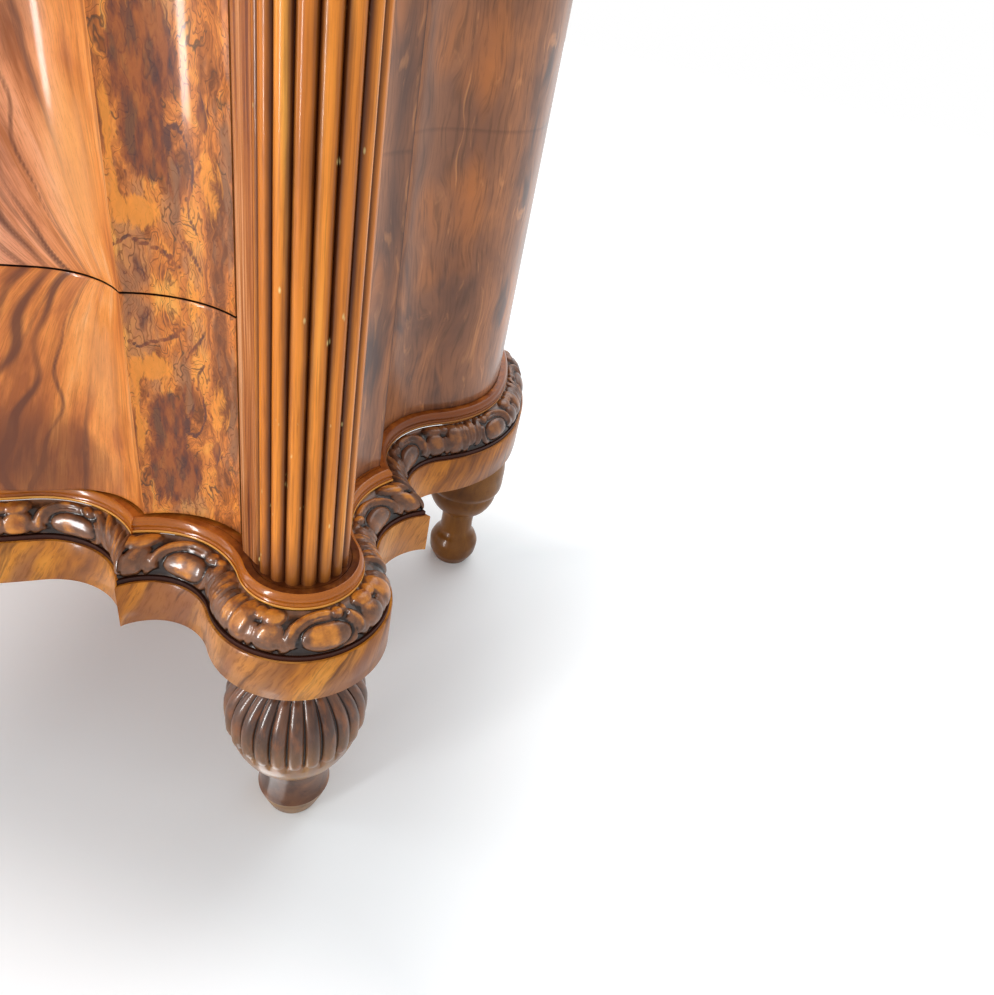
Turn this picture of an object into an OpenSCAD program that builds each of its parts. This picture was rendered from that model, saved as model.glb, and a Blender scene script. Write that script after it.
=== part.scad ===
// Serpentine commode: three drawers, reeded corner columns and a carved base on turned feet.
// Millimetres, +X to the right, +Y to the back, +Z up, origin under the middle of the overall box.
// Plan centres are given from the axis of the right-hand front column, x outwards and y to the back.

/* [Heights] */
// Height of the turned feet, floor to plinth
foot_h = 235; // [200:1:260]
// Height of the veneered plinth band
band_h = 42; // [30:1:60]
// Height of the carved moulding
carving_h = 30; // [24:1:40]
// Height of the plain moulding over the carving
astragal_h = 12; // [9:1:18]
// Height of the deck board under the drawers
deck_t = 18; // [14:1:24]
// Height of the carcass between deck and top
carcass_h = 530; // [480:1:600]
// Thickness of the top board
top_t = 30; // [22:1:40]
// Height of the bottom drawer's share of the carcass
drawer_1_h = 183; // [165:1:195]
// Height of the middle drawer's share of the carcass
drawer_2_h = 177; // [165:1:190]

/* [Plan] */
// Distance between the axes of the two columns
column_spacing = 1020; // [960:10:1200]
// Depth from the column axes to the back
body_back = 482; // [480:1:520]
// Radius of the reeded columns
column_r = 36; // [33:0.5:38]
// Distance inwards of the front scoop's centre, base mouldings
scoop_x = 90; // [88:0.5:92]
// Distance forwards of the front scoop's centre, base mouldings
scoop_y = 79; // [77:0.5:81]
// Distance inwards of the bow-side scoop centre, base mouldings
sweep_x = 180; // [178:0.5:182]
// Distance forwards of the bow-side scoop centre, base mouldings
sweep_y = 84; // [82:0.5:86]
// Radius of the scoop beside the bow at the base core
sweep_core_r = 88; // [85:0.5:91]
// Angle at which the bow takes over from the scoop, base mouldings
bow_turn = 35; // [33:0.5:38]
// Distance inwards of the centre of the drawer fronts' scoop beside the column
front_scoop_x = 80; // [79:0.2:81]
// Distance forwards of the centre of the drawer fronts' scoop beside the column
front_scoop_y = 69.3; // [68.3:0.2:70.3]
// Radius of the drawer fronts' scoop beside the column
front_scoop_r = 73.8; // [72:0.2:76]
// Distance inwards of the centre of the drawer fronts' scoop beside the bow
front_sweep_x = 160; // [159:0.2:161]
// Distance forwards of the centre of the drawer fronts' scoop beside the bow
front_sweep_y = 59.5; // [58.5:0.2:60.5]
// Radius of the drawer fronts' scoop beside the bow
front_sweep_r = 58; // [56:0.5:60]
// Angle at which the drawer fronts' bow takes over
front_bow_turn = 32; // [31:0.5:34]
// Distance outwards of the centre of the side scoop beside the column
side_scoop_x = 93; // [92:0.5:95]
// Distance backwards of the centre of the side scoop beside the column
side_scoop_y = 95; // [94:0.5:96]
// Distance outwards of the centre of the side scoop beside the side bow
side_sweep_x = 81; // [79:0.5:82]
// Distance backwards of the centre of the side scoop beside the side bow
side_sweep_y = 198; // [197:0.5:200]
// Radius of the side scoop beside the side bow
side_sweep_r = 92; // [89:0.5:95]
// Angle at which the side bow takes over
side_bow_turn = 50; // [46:1:54]
// Radius of the side bow
side_bow_r = 114; // [100:1:125]
// Extra radius of the side behind the bow's widest point
side_rear_extra = 150; // [120:5:200]

/* [Base mouldings] */
// Width of the ledge around the column foot
ledge_w = 2; // [1:0.5:3]
// Reach of the plain moulding's upper edge
up_out = 7; // [5:0.5:8]
// Reach of the plain moulding's lower edge
ring_out = 10.7; // [9:0.1:13]
// Reach of the plinth band at the corners and sides
band_out = 36; // [32:0.5:38]
// Reach of the plinth band under the front bow
band_out_front = 28; // [25:0.5:31]
// Thickness of the plinth rails
rail_t = 50; // [44:1:56]
// Thickness of the plinth's back rail
back_rail_t = 24; // [18:1:30]
// Reach of a corner block inwards from the column axis
corner_block_in = 60; // [52:1:66]
// Reach of a rear block inwards from its foot's axis
rear_block_in = 66; // [40:1:80]
// Reach of a rear block forwards from its foot's axis
rear_block_fwd = 40; // [30:1:60]
// Height of the dark quirk under the carving
quirk_h = 4.5; // [3:0.5:6]
// Setback of the dark quirk
quirk_in = 2.5; // [1.5:0.5:4]
// Bulge of the carved moulding
carving_bulge = 8.5; // [6:0.5:10]

/* [Reeds] */
// Number of reeds on the shown part of a column
reed_count = 10; // [8:1:12]
// Share of the column in degrees that is reeded
reed_span = 212; // [200:1:220]
// Depth of the grooves between the reeds
groove_d = 4.2; // [3:0.1:5]

/* [Feet] */
// Largest radius of a front foot
front_bulb_r = 63; // [56:0.5:66]
// Distance of the rear foot outwards from the column axis
rear_foot_x = 36; // [30:1:40]
// Distance of the rear foot behind the column axis
rear_foot_y = 427; // [415:1:428]
// Largest radius of a rear foot
rear_bulb_r = 51; // [44:0.5:52]
// Height of the pad under a foot
pad_h = 33; // [28:1:38]
// Height of the neck over the pad
neck_h = 41; // [38:1:46]
// Height of a front foot's neck, where its bowl begins
front_neck_h = 71; // [66:1:76]
// Radius of a front foot's neck
front_neck_r = 33; // [28:0.5:38]
// Radius of a rear foot's neck
rear_neck_r = 22; // [18:0.5:26]
// Height of a rear foot's slender shank
rear_shank_h = 85; // [76:1:92]
// Radius of a foot's spigot
spigot_r = 14; // [10:0.5:16]
// Length of a foot's spigot
spigot_h = 36; // [26:1:40]

/* [Carcass] */
// Thickness of the side panels
side_t = 20; // [16:1:24]
// Width of the strip beside the column
strip_w = 10; // [8:0.5:12]
// Distance of the strip's outer edge in front of the column axis
strip_out = 15.5; // [13:0.5:17]
// Slope of the strip back towards the column
strip_rise = 5; // [3:0.5:6]
// Half width of the flat behind a column
seat_half = 30.4; // [28:0.2:32]
// Half width of the room for the drawers
bay_x = 460; // [452:1:461]
// Depth of the corner posts behind the column axis
post_back = 50; // [44:1:56]
// Depth of the rear posts
rear_post_d = 45; // [35:1:60]
// Thickness of the back panel
back_t = 12; // [8:1:16]
// Depth of the dividers and the top rails
rail_d = 60; // [50:1:80]
// Thickness of the dividers and runners
divider_t = 20; // [16:1:24]
// Lap of the runners onto the rear posts
runner_lap = 12; // [8:1:16]
// Width of a runner
runner_w = 47; // [40:1:52]
// Height of a drawer guide
guide_h = 20; // [12:1:28]
// Width of a drawer guide
guide_w = 14; // [10:1:16]
// Thickness of the dust boards
dust_t = 6; // [4:1:8]
// Height of a drawer stop
stop_h = 6; // [4:0.5:7]
// Width of a drawer stop
stop_w = 30; // [20:1:50]
// Depth of a drawer stop
stop_d = 36; // [24:1:50]
// Distance of a drawer stop from the middle
stop_x = 300; // [200:10:380]

/* [Top] */
// Overhang of the top past the drawer fronts and sides
top_over = 20; // [14:0.5:22]
// Overhang of the top at the back
top_over_back = 5; // [0:1:12]
// Setback of the top's lower member
top_step = 8; // [5:0.5:10]
// Thickness of the top's lower member
top_step_t = 11; // [8:0.5:14]

/* [Drawers] */
// Depth of the flat back of the drawer fronts behind the column axis
front_back = 26; // [24:0.5:32]
// Thickness of the drawer fronts in the bow
front_t = 24; // [20:0.5:28]
// Gap between drawer fronts
front_gap = 2; // [1.5:0.1:4]
// Gap between a drawer front and a post
post_gap = 1; // [0.6:0.1:1.5]
// Setback of the drawer box from the ends of the front
box_in = 2; // [1.5:0.1:3]
// Thickness of the drawer sides
drawer_side_t = 14; // [10:0.5:16]
// Thickness of the drawer backs
drawer_back_t = 12; // [9:0.5:15]
// Thickness of the drawer bottoms
bottom_t = 8; // [6:0.5:10]
// Height of the groove for the bottom above the drawer's lower edge
bottom_up = 9; // [8:0.5:12]
// Depth of the groove for the bottom
groove_in = 6; // [4:0.5:8]
// Space between the drawer boxes and the back panel
box_back_gap = 34; // [28:1:60]
// Space above a drawer box
box_top_gap = 4; // [3:0.5:8]
// Running clearance under a drawer
run_gap = 0.4; // [0.3:0.1:0.8]
// Clearance between a drawer at rest and its stops
stop_gap = 0.3; // [0.2:0.1:0.6]
// Clearance between the drawer fronts and the dividers
divider_gap = 2; // [1.5:0.1:3]
// Number of dovetails at each drawer corner
tail_count = 4; // [3:1:5]
// Length of a dovetail
tail_l = 12; // [9:0.5:14]
// Width of a dovetail at its root
tail_w = 18; // [14:0.5:22]
// Flare of a dovetail
tail_flare = 2.5; // [1.5:0.5:4]

/* [Knobs] */
// Distance of a knob from the middle
knob_x = 230; // [180:5:290]
// Radius of a knob's head
knob_r = 18; // [14:0.5:22]
// Projection of a knob
knob_l = 32; // [26:0.5:38]
// Radius of a knob's spigot
knob_spigot_r = 6; // [4:0.5:7]

/* [Hidden] */
$fn = 64;
FAR = 900;
// Degrees that an arc is swept past a ridge, before the mitre cuts it
ridge_run = 9;
// Overlap, inside the wood, of the pieces that a plan is drawn from
lap = 5;
// Half the hairline joint between two lengths of a moulding
joint_w = 0.01;
col_x = column_spacing / 2;
band_z = foot_h;
carving_z = band_z + band_h;
astragal_z = carving_z + carving_h;
deck_top = astragal_z + astragal_h;
deck_z = deck_top - deck_t;
carcass_top = deck_top + carcass_h;
total_h = carcass_top + top_t;
core_r = column_r + ledge_w;
scoop_c = [-scoop_x, -scoop_y];
sweep_c = [-sweep_x, -sweep_y];
front_scoop_c = [-front_scoop_x, -front_scoop_y];
front_sweep_c = [-front_sweep_x, -front_sweep_y];
side_scoop_c = [side_scoop_x, side_scoop_y];
side_sweep_c = [side_sweep_x, side_sweep_y];
rear_block_y = rear_foot_y - rear_block_fwd;

// How far each scoop bites into the round that it runs into, so that their outlines cross cleanly
bite = 0.05;

// A plan family: scoop, sweep, turn, column radius, side scoop, side sweep and side bow radius
function base_plan(d, front_d) = [
    scoop_c, norm(scoop_c) - core_r - d + bite, sweep_c, sweep_core_r - front_d + bite, bow_turn,
    core_r + d, side_scoop_c, norm(side_scoop_c) - core_r - d + bite,
    side_sweep_c, side_sweep_r - d + bite,
    side_bow_r + d];
function carcass_plan(d) = [
    front_scoop_c, front_scoop_r - d, front_sweep_c, front_sweep_r - d + bite, front_bow_turn, column_r + d,
    side_scoop_c, norm(side_scoop_c) - column_r - d + bite, side_sweep_c, side_sweep_r - d + bite,
    side_bow_r + d];

// The crossing of two circles that lies further along a direction
function meet(c0, r0, c1, r1, along) =
    let (v = c1 - c0, d = norm(v), e = v / d, n = [-e[1], e[0]],
         a = (r0 * r0 - r1 * r1 + d * d) / (2 * d), h = sqrt(max(r0 * r0 - a * a, 0)))
    c0 + a * e + (n * along > 0 ? h : -h) * n;
function polar(r, a) = [r * cos(a), r * sin(a)];
function angle_of(v) = atan2(v[1], v[0]);

function bow_reach(f) = (col_x + f[2][0]) / sin(f[4]);
function bow_c(f) = [-col_x, f[2][1] + bow_reach(f) * cos(f[4])];
function bow_r(f) = bow_reach(f) - f[3] + bite;
function front_ridge(f) = meet(f[0], f[1], f[2], f[3], [0, 1]);
function side_ridge(f) = meet(f[6], f[7], f[8], f[9], [-1, 0]);
side_bow_c = side_sweep_c + polar(side_sweep_r + side_bow_r, 180 - side_bow_turn);
side_rear_c = side_bow_c - [side_rear_extra, 0];
// A point in the bite between the column's circle and a scoop, and the crossing behind it
function column_bite(c, r, col_r) = polar((norm(c) - r + col_r) / 2, angle_of(c));
function scoop_end(f) = meet(f[0], f[1], [0, 0], f[5], [-1, 1]);
function side_scoop_end(f) = meet(f[6], f[7], [0, 0], f[5], [-1, 1]);

band_plan = base_plan(band_out, band_out_front);
core_plan = base_plan(0, 0);
rail_plan = base_plan(band_out - rail_t, band_out_front - rail_t);
body_plan = carcass_plan(0);
lining_plan = carcass_plan(-side_t);

band_front = bow_c(band_plan)[1] - bow_r(band_plan);
top_front = bow_c(body_plan)[1] - bow_r(body_plan) - top_over;
back_edge = body_back + top_over_back;
col_y = -(min(band_front, top_front) + back_edge) / 2;

// Mitre lines at the two ridges, and the point inside the corner where they cross
front_mitre = front_ridge(band_plan) - front_ridge(core_plan);
side_mitre = side_ridge(band_plan) - side_ridge(core_plan);
function cross2(a, b) = a[0] * b[1] - a[1] * b[0];
mitre_gap = side_ridge(core_plan) - front_ridge(core_plan);
mitre_share = cross2(mitre_gap, side_mitre) / cross2(front_mitre, side_mitre);
mitre_c = front_ridge(core_plan) + front_mitre * mitre_share;
front_out = mitre_c + (front_ridge(band_plan) - mitre_c) * 2;
side_out = mitre_c + (side_ridge(band_plan) - mitre_c) * 2;

module right() {
    translate([col_x, col_y, 0]) children();
}
module left() {
    mirror([1, 0, 0]) right() children();
}
module middle() {
    translate([0, col_y, 0]) children();
}
module at(p) {
    translate([p[0], p[1], 0]) children();
}

// Half of a plan, from the middle line to the right-hand side, up to the given back line
module half_plan(f, back) {
    start = f[2] + polar(f[3] - bite / 2, 90 + f[4]);
    side_start = f[8] + polar(f[9] - bite / 2, 180 - side_bow_turn);
    r = f[5];
    difference() {
        polygon([[-col_x - lap, back], [-col_x - lap, start[1]], start, front_ridge(f) - [0, lap],
                 column_bite(f[0], f[1], r), [0, 0], column_bite(f[6], f[7], r), side_ridge(f) + [lap, 0],
                 side_start, side_bow_c, [side_bow_c[0], back]]);
        at(f[0]) circle(r = f[1]);
        at(f[2]) circle(r = f[3]);
        at(f[6]) circle(r = f[7]);
        at(f[8]) circle(r = f[9]);
    }
    intersection() {
        circle(r = r);
        polygon([[-lap, lap], polar(4 * r, angle_of(scoop_end(f)) - ridge_run), [0, -4 * r],
                 [4 * r, -4 * r], [4 * r, 0], polar(4 * r, angle_of(side_scoop_end(f)) + ridge_run)]);
    }
    intersection() {
        at(side_bow_c) circle(r = f[10]);
        at(side_bow_c) polygon([[-lap, 0], polar(2 * f[10], -side_bow_turn - ridge_run),
                                [2 * f[10], -f[10]], [2 * f[10], lap], [-lap, lap]]);
    }
    intersection() {
        at(side_rear_c) circle(r = f[10] + side_rear_extra + bite);
        at(side_bow_c - [lap, 0]) square([2 * f[10], back - side_bow_c[1]]);
    }
}

// Both halves and the bow between them, in the column's depth and the middle's width
module full_plan(f, back) {
    start = f[2] + polar(f[3], 90 + f[4]);
    half = col_x + start[0] + lap;
    for (m = [0, 1]) {
        mirror([m, 0]) translate([col_x, 0]) half_plan(f, back);
    }
    intersection() {
        translate([0, bow_c(f)[1]]) circle(r = bow_r(f));
        translate([-half, start[1] - FAR]) square([2 * half, FAR + lap]);
    }
}

module slab(z0, z1) {
    translate([0, 0, z0]) linear_extrude(z1 - z0) children();
}
module corner_zone() {
    polygon([mitre_c, front_out, [front_out[0], -FAR], [FAR, -FAR], [FAR, side_out[1]], side_out]);
}
module side_zone(back) {
    polygon([mitre_c, side_out, [FAR, side_out[1]], [FAR, back], [mitre_c[0], back]]);
}
module front_zone() {
    far = [front_out[0], -FAR];
    edge = [mitre_c, front_out, far];
    polygon(concat([for (p = edge) [col_x + p[0], p[1]]],
                   [for (i = [2, 1, 0]) [-col_x - edge[i][0], edge[i][1]]]));
}

// Turned feet: height and radius pairs up the axis
module turned(profile) {
    rotate_extrude() polygon(concat([[0, profile[0][1]]], profile, [[0, profile[len(profile) - 1][1]]]));
}
// A foot's body above its neck, as height and radius shares of the foot's own size
function bulb_points(rows, z, r) = [for (p = rows) [r * p[1], z + (foot_h - z) * p[0]]];
module foot(pad, rows, bulb_z, bulb_r) {
    spigot = [[spigot_r, foot_h], [spigot_r, foot_h + spigot_h]];
    turned(concat(pad, bulb_points(rows, bulb_z, bulb_r), spigot));
}
module front_foot() {
    n = front_neck_r;
    pad = [[n - 8, 0], [n + 1.5, pad_h - 5], [n - 1, pad_h + 6], [n - 1.5, front_neck_h - 18],
        [n, front_neck_h - 2]];
    color("#5a3a26") foot(pad, [[0.03, 0.603], [0.085, 0.698], [0.146, 0.794], [0.22, 0.881],
        [0.287, 0.937], [0.36, 0.981], [0.47, 1], [0.524, 0.986], [0.579, 0.943], [0.628, 0.877],
        [0.671, 0.789], [0.707, 0.687], [0.75, 0.56], [0.811, 0.524], [0.884, 0.54], [1, 0.635]],
        front_neck_h, front_bulb_r);
}
module rear_foot() {
    n = rear_neck_r;
    pad = [[n + 2, 0], [n + 8, pad_h * 0.3], [n + 11, pad_h * 0.65], [n + 11, pad_h + 2],
        [n + 7, neck_h + 1], [n + 1, neck_h + 8], [n, neck_h + 15], [n, rear_shank_h - 9],
        [n + 2, rear_shank_h]];
    color("#6b4526") at([rear_foot_x, rear_foot_y]) foot(pad, [[0.04, 0.588], [0.107, 0.784],
        [0.18, 0.882], [0.273, 0.902], [0.3, 0.98], [0.38, 1], [0.487, 1], [0.633, 0.941], [0.8, 0.824],
        [0.93, 0.745], [1, 0.725]], rear_shank_h, rear_bulb_r);
}

// Plinth: the veneered band below, and the rebated core that carries the mouldings above
module plinth_ring() {
    slab(band_z, carving_z) full_plan(band_plan, body_back);
    slab(carving_z, deck_z) full_plan(core_plan, body_back);
}
module plinth_front() {
    color("#a8652f") middle() difference() {
        intersection() {
            plinth_ring();
            slab(band_z, deck_z) front_zone();
        }
        slab(band_z - 1, deck_z + 1) {
            translate([0, bow_c(band_plan)[1]]) circle(r = bow_r(band_plan) - rail_t);
            translate([-FAR, front_back]) square([2 * FAR, FAR]);
        }
    }
}
module plinth_half() {
    slab(band_z, carving_z) half_plan(band_plan, body_back);
    slab(carving_z, deck_z) half_plan(core_plan, body_back);
}
module corner_block() {
    color("#a8652f") difference() {
        intersection() {
            plinth_half();
            slab(band_z, deck_z) corner_zone();
        }
        translate([mitre_c[0] - 1, front_back, band_z - 1]) {
            cube([1 - corner_block_in - mitre_c[0], FAR, deck_z - band_z + 2]);
        }
        translate([0, 0, band_z - 1]) cylinder(r = spigot_r, h = spigot_h + 1);
    }
}
module plinth_side() {
    color("#8a5228") difference() {
        intersection() {
            plinth_half();
            slab(band_z, deck_z) side_zone(rear_block_y);
        }
        slab(band_z - 1, deck_z + 1) half_plan(rail_plan, body_back);
    }
}
module rear_block() {
    color("#8a5228") difference() {
        intersection() {
            plinth_half();
            translate([rear_foot_x - rear_block_in, rear_block_y, band_z]) {
                cube([FAR, body_back - rear_block_y, deck_z - band_z]);
            }
        }
        translate([rear_foot_x, rear_foot_y, band_z - 1]) cylinder(r = spigot_r, h = spigot_h + 1);
    }
}
module plinth_back() {
    half = col_x + rear_foot_x - rear_block_in;
    color("#7a5a38") middle() translate([-half, body_back - back_rail_t, band_z]) {
        cube([2 * half, back_rail_t, deck_z - band_z]);
    }
}

// Mouldings are swept round the core line: each run is a row of arcs about the plan's own centres.
// A profile lists points as distance outside the core and height.
function bulged(p0, p1, bulge, count) =
    let (half = norm(p1 - p0) / 2, r = (half * half + bulge * bulge) / (2 * bulge),
         e = (p1 - p0) / (2 * half), c = (p0 + p1) / 2 - [e[1], -e[0]] * (r - bulge),
         a0 = angle_of(p0 - c), a1 = angle_of(p1 - c), turn = (a1 - a0 + 720) % 360)
    [for (i = [0 : count]) c + polar(r, a0 + turn * i / count)];
function carving_profile(reach) = concat(
    [[0, carving_z], [reach - quirk_in, carving_z], [reach - quirk_in, carving_z + quirk_h]],
    bulged([reach - quirk_in - 1.5, carving_z + quirk_h], [ring_out - 1, astragal_z - 0.8],
           carving_bulge, 9),
    [[ring_out - 1, astragal_z], [0, astragal_z]]);
function astragal_profile() = concat(
    [[0, astragal_z], [ring_out, astragal_z], [ring_out, astragal_z + 1.8]],
    bulged([ring_out - 0.5, astragal_z + 1.8], [up_out + 0.3, deck_top - 1.6], 1.4, 6),
    [[up_out, deck_top - 1.6], [up_out, deck_top], [0, deck_top]]);

module swept(centre, r, outward, from, to, profile) {
    edge = joint_w / r * 180 / PI;
    at(centre) rotate(from + edge) rotate_extrude(angle = to - from - 2 * edge) {
        polygon([for (p = profile) [r + outward * p[0], p[1]]]);
    }
}
// Joins two arcs of one run inside the wood where they meet
module key(centre, r, outward, angle, profile) {
    z0 = profile[0][1] + 3;
    at(centre) rotate(angle) translate([r + outward * 4 - 2, -lap / 2, z0]) {
        cube([4, lap, profile[len(profile) - 1][1] - 3 - z0]);
    }
}
module corner_run(profile) {
    f = core_plan;
    scoop_in = angle_of(-f[0]);
    side_in = angle_of(-f[6]) + 360;
    intersection() {
        union() {
            swept(f[0], f[1], -1, scoop_in, angle_of(front_ridge(band_plan) - f[0]) + ridge_run, profile);
            swept([0, 0], f[5], 1, scoop_in - 180, -45, profile);
            swept([0, 0], f[5], 1, -45, side_in - 180, profile);
            swept(f[6], f[7], -1, angle_of(side_ridge(band_plan) - f[6]) - ridge_run, side_in, profile);
            for (angle = [scoop_in - 180, -45, side_in - 180]) {
                key([0, 0], f[5], 1, angle, profile);
            }
        }
        slab(carving_z - 1, deck_top + 1) corner_zone();
    }
}
module side_run(profile) {
    f = core_plan;
    turn_in = 180 - side_bow_turn;
    ridge_at = angle_of(side_ridge(band_plan) - f[8]) + 360;
    intersection() {
        union() {
            swept(f[8], f[9], -1, turn_in, ridge_at + ridge_run, profile);
            swept(side_bow_c, f[10], 1, -side_bow_turn, 0, profile);
            swept(side_rear_c, f[10] + side_rear_extra + bite, 1, 0, 50, profile);
            for (angle = [-side_bow_turn, 0]) {
                key(side_bow_c, f[10], 1, angle, profile);
            }
        }
        slab(carving_z - 1, deck_top + 1) side_zone(body_back);
    }
}
module front_run(profile) {
    f = core_plan;
    ridge_at = angle_of(front_ridge(band_plan) - f[2]);
    intersection() {
        union() {
            for (m = [0, 1]) {
                mirror([m, 0, 0]) translate([col_x, 0, 0]) {
                    swept(f[2], f[3], -1, ridge_at - ridge_run, 90 + f[4], profile);
                }
            }
            swept([0, bow_c(f)[1]], bow_r(f), 1, -90 - f[4], -90 + f[4], profile);
            for (angle = [-90 - f[4], -90 + f[4]]) {
                key([0, bow_c(f)[1]], bow_r(f), 1, angle, profile);
            }
        }
        slab(carving_z - 1, deck_top + 1) front_zone();
    }
}
module carving_front() {
    color("#4a3222") middle() front_run(carving_profile(band_out_front));
}
module carving_corner() {
    color("#4a3222") corner_run(carving_profile(band_out));
}
module carving_side() {
    color("#3f2b1f") side_run(carving_profile(band_out));
}
module astragal_front() {
    color("#b0652c") middle() front_run(astragal_profile());
}
module astragal_corner() {
    color("#b0652c") corner_run(astragal_profile());
}
module astragal_side() {
    color("#94532a") side_run(astragal_profile());
}
module deck() {
    color("#8f5526") middle() slab(deck_z, deck_top) full_plan(core_plan, body_back);
}

// Reeded columns, flat at the back where they are glued to the corner posts
reed_pitch = reed_span / reed_count;
groove_r = column_r - groove_d;
reed_c = (column_r * column_r - groove_r * groove_r) / (2 * (column_r - groove_r * cos(reed_pitch / 2)));
seat_off = -column_r * cos(reed_span / 2);
module column() {
    color("#b5712c") slab(deck_top, carcass_top) difference() {
        union() {
            circle(r = groove_r - 0.6);
            for (i = [0 : reed_count - 1]) {
                rotate(-45 + (i + 0.5) * reed_pitch - reed_span / 2) translate([reed_c, 0]) {
                    circle(r = column_r - reed_c);
                }
            }
        }
        rotate(135) translate([seat_off, -FAR / 2]) square(FAR);
    }
}
bay_in = bay_x - col_x;
module corner_post() {
    seat = polar(seat_off, 135);
    run = polar(seat_half, 45);
    color("#a05f2a") slab(deck_top, carcass_top) polygon([
        [bay_in, -strip_out], [bay_in + strip_w, strip_rise - strip_out], seat - run, seat + run,
        [strip_out - strip_rise, post_back - strip_w], [strip_out, post_back], [bay_in, post_back]]);
}

// Carcass
rear_post_y = body_back - back_t - rear_post_d;
side_flat = side_sweep_c[0] - side_sweep_r - side_t;
module side_hollow() {
    translate([-FAR, 0]) square([FAR + side_flat, FAR]);
    intersection() {
        at(side_bow_c) circle(r = side_bow_r - side_t);
        translate([side_flat - 1, 0]) square([FAR, side_bow_c[1]]);
    }
    intersection() {
        at(side_rear_c) circle(r = side_bow_r + side_rear_extra - side_t + bite);
        translate([side_flat - 1, side_bow_c[1]]) square([FAR, FAR]);
    }
}
module side_panel() {
    color("#7d4a26") slab(deck_top, carcass_top) difference() {
        intersection() {
            half_plan(body_plan, body_back);
            translate([side_flat - 1, post_back]) square([FAR, body_back - post_back]);
        }
        side_hollow();
    }
}
module rear_post() {
    color("#b89468") slab(deck_top, carcass_top) intersection() {
        half_plan(lining_plan, body_back);
        translate([bay_in, rear_post_y]) square([FAR, rear_post_d]);
    }
}
module back_panel() {
    color("#a8865c") middle() slab(deck_top, carcass_top) intersection() {
        full_plan(lining_plan, body_back);
        translate([-FAR, body_back - back_t]) square([2 * FAR, back_t]);
    }
}
rail_y = front_back + divider_gap;
gap_1_z = deck_top + drawer_1_h;
gap_2_z = gap_1_z + drawer_2_h;
module cross_rail(y, z) {
    color("#b89468") middle() translate([-bay_x, y, z]) cube([2 * bay_x, rail_d, divider_t]);
}
module divider_lower() {
    cross_rail(rail_y, gap_1_z - divider_t / 2);
}
module divider_upper() {
    cross_rail(rail_y, gap_2_z - divider_t / 2);
}
module top_rail_front() {
    cross_rail(rail_y, carcass_top - divider_t);
}
module top_rail_back() {
    cross_rail(body_back - back_t - rail_d, carcass_top - divider_t);
}
// Runners reach from the dividers to the rear posts, and lap onto the posts' front faces
runner_y = rail_y + rail_d;
function shelf_z() = [deck_top, gap_1_z + divider_t / 2, gap_2_z + divider_t / 2];
module runners() {
    color("#b89468") middle() for (m = [0, 1], level = [1, 2]) {
        mirror([m, 0, 0])
        translate([bay_x + runner_lap - runner_w, runner_y, shelf_z()[level] - divider_t]) {
            cube([runner_w, rear_post_y - runner_y, divider_t]);
        }
    }
}
module guides() {
    color("#c2a074") middle() for (m = [0, 1], level = [0 : 2]) {
        mirror([m, 0, 0]) translate([bay_x + runner_lap - guide_w, runner_y, shelf_z()[level]]) {
            cube([guide_w, rear_post_y - runner_y, guide_h]);
        }
    }
}
module dust_board(level) {
    half = bay_x + runner_lap - runner_w;
    color("#c2a074") middle() translate([-half, runner_y, shelf_z()[level] - (divider_t + dust_t) / 2]) {
        cube([2 * half, body_back - back_t - runner_y, dust_t]);
    }
}
module drawer_stops() {
    color("#c2a074") middle() for (m = [0, 1], level = [0 : 2]) {
        mirror([m, 0, 0]) translate([stop_x - stop_w / 2, front_back + stop_gap, shelf_z()[level]]) {
            cube([stop_w, stop_d, stop_h]);
        }
    }
}
module top() {
    color("#9a5a2a") middle() {
        slab(carcass_top, carcass_top + top_step_t + lap) {
            full_plan(carcass_plan(top_over - top_step), back_edge);
        }
        slab(carcass_top + top_step_t, total_h) full_plan(carcass_plan(top_over), back_edge);
    }
}

// Drawers: shaped fronts that overlap the dividers, and dovetailed boxes behind them
front_z = [deck_top, gap_1_z - front_gap / 2, gap_2_z - front_gap / 2, carcass_top - front_gap];
function front_low(n) = front_z[n - 1] + front_gap;
function front_high(n) = front_z[n];
function box_low(n) = shelf_z()[n - 1] + run_gap;
ceiling_z = [gap_1_z - divider_t / 2, gap_2_z - divider_t / 2, carcass_top - divider_t];
function box_high(n) = ceiling_z[n - 1] - box_top_gap;
front_half = bay_x - post_gap;
box_half = front_half - box_in;
box_inner = box_half - drawer_side_t;
box_end = body_back - back_t - box_back_gap;
box_d = box_end - front_back;
bow_centre_y = bow_c(body_plan)[1];
bow_inner_r = bow_r(body_plan) - front_t;

module bottom_plan() {
    translate([-box_inner - groove_in, front_back]) square([2 * (box_inner + groove_in), box_d]);
    translate([-box_inner, front_back - groove_in]) square([2 * box_inner, groove_in + 1]);
    intersection() {
        translate([0, bow_centre_y]) circle(r = bow_inner_r + groove_in);
        translate([-box_inner, front_back - FAR]) square([2 * box_inner, FAR]);
    }
}
module drawer_bottom(n) {
    color("#c9aa7c") middle() slab(box_low(n) + bottom_up, box_low(n) + bottom_up + bottom_t) bottom_plan();
}
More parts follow.
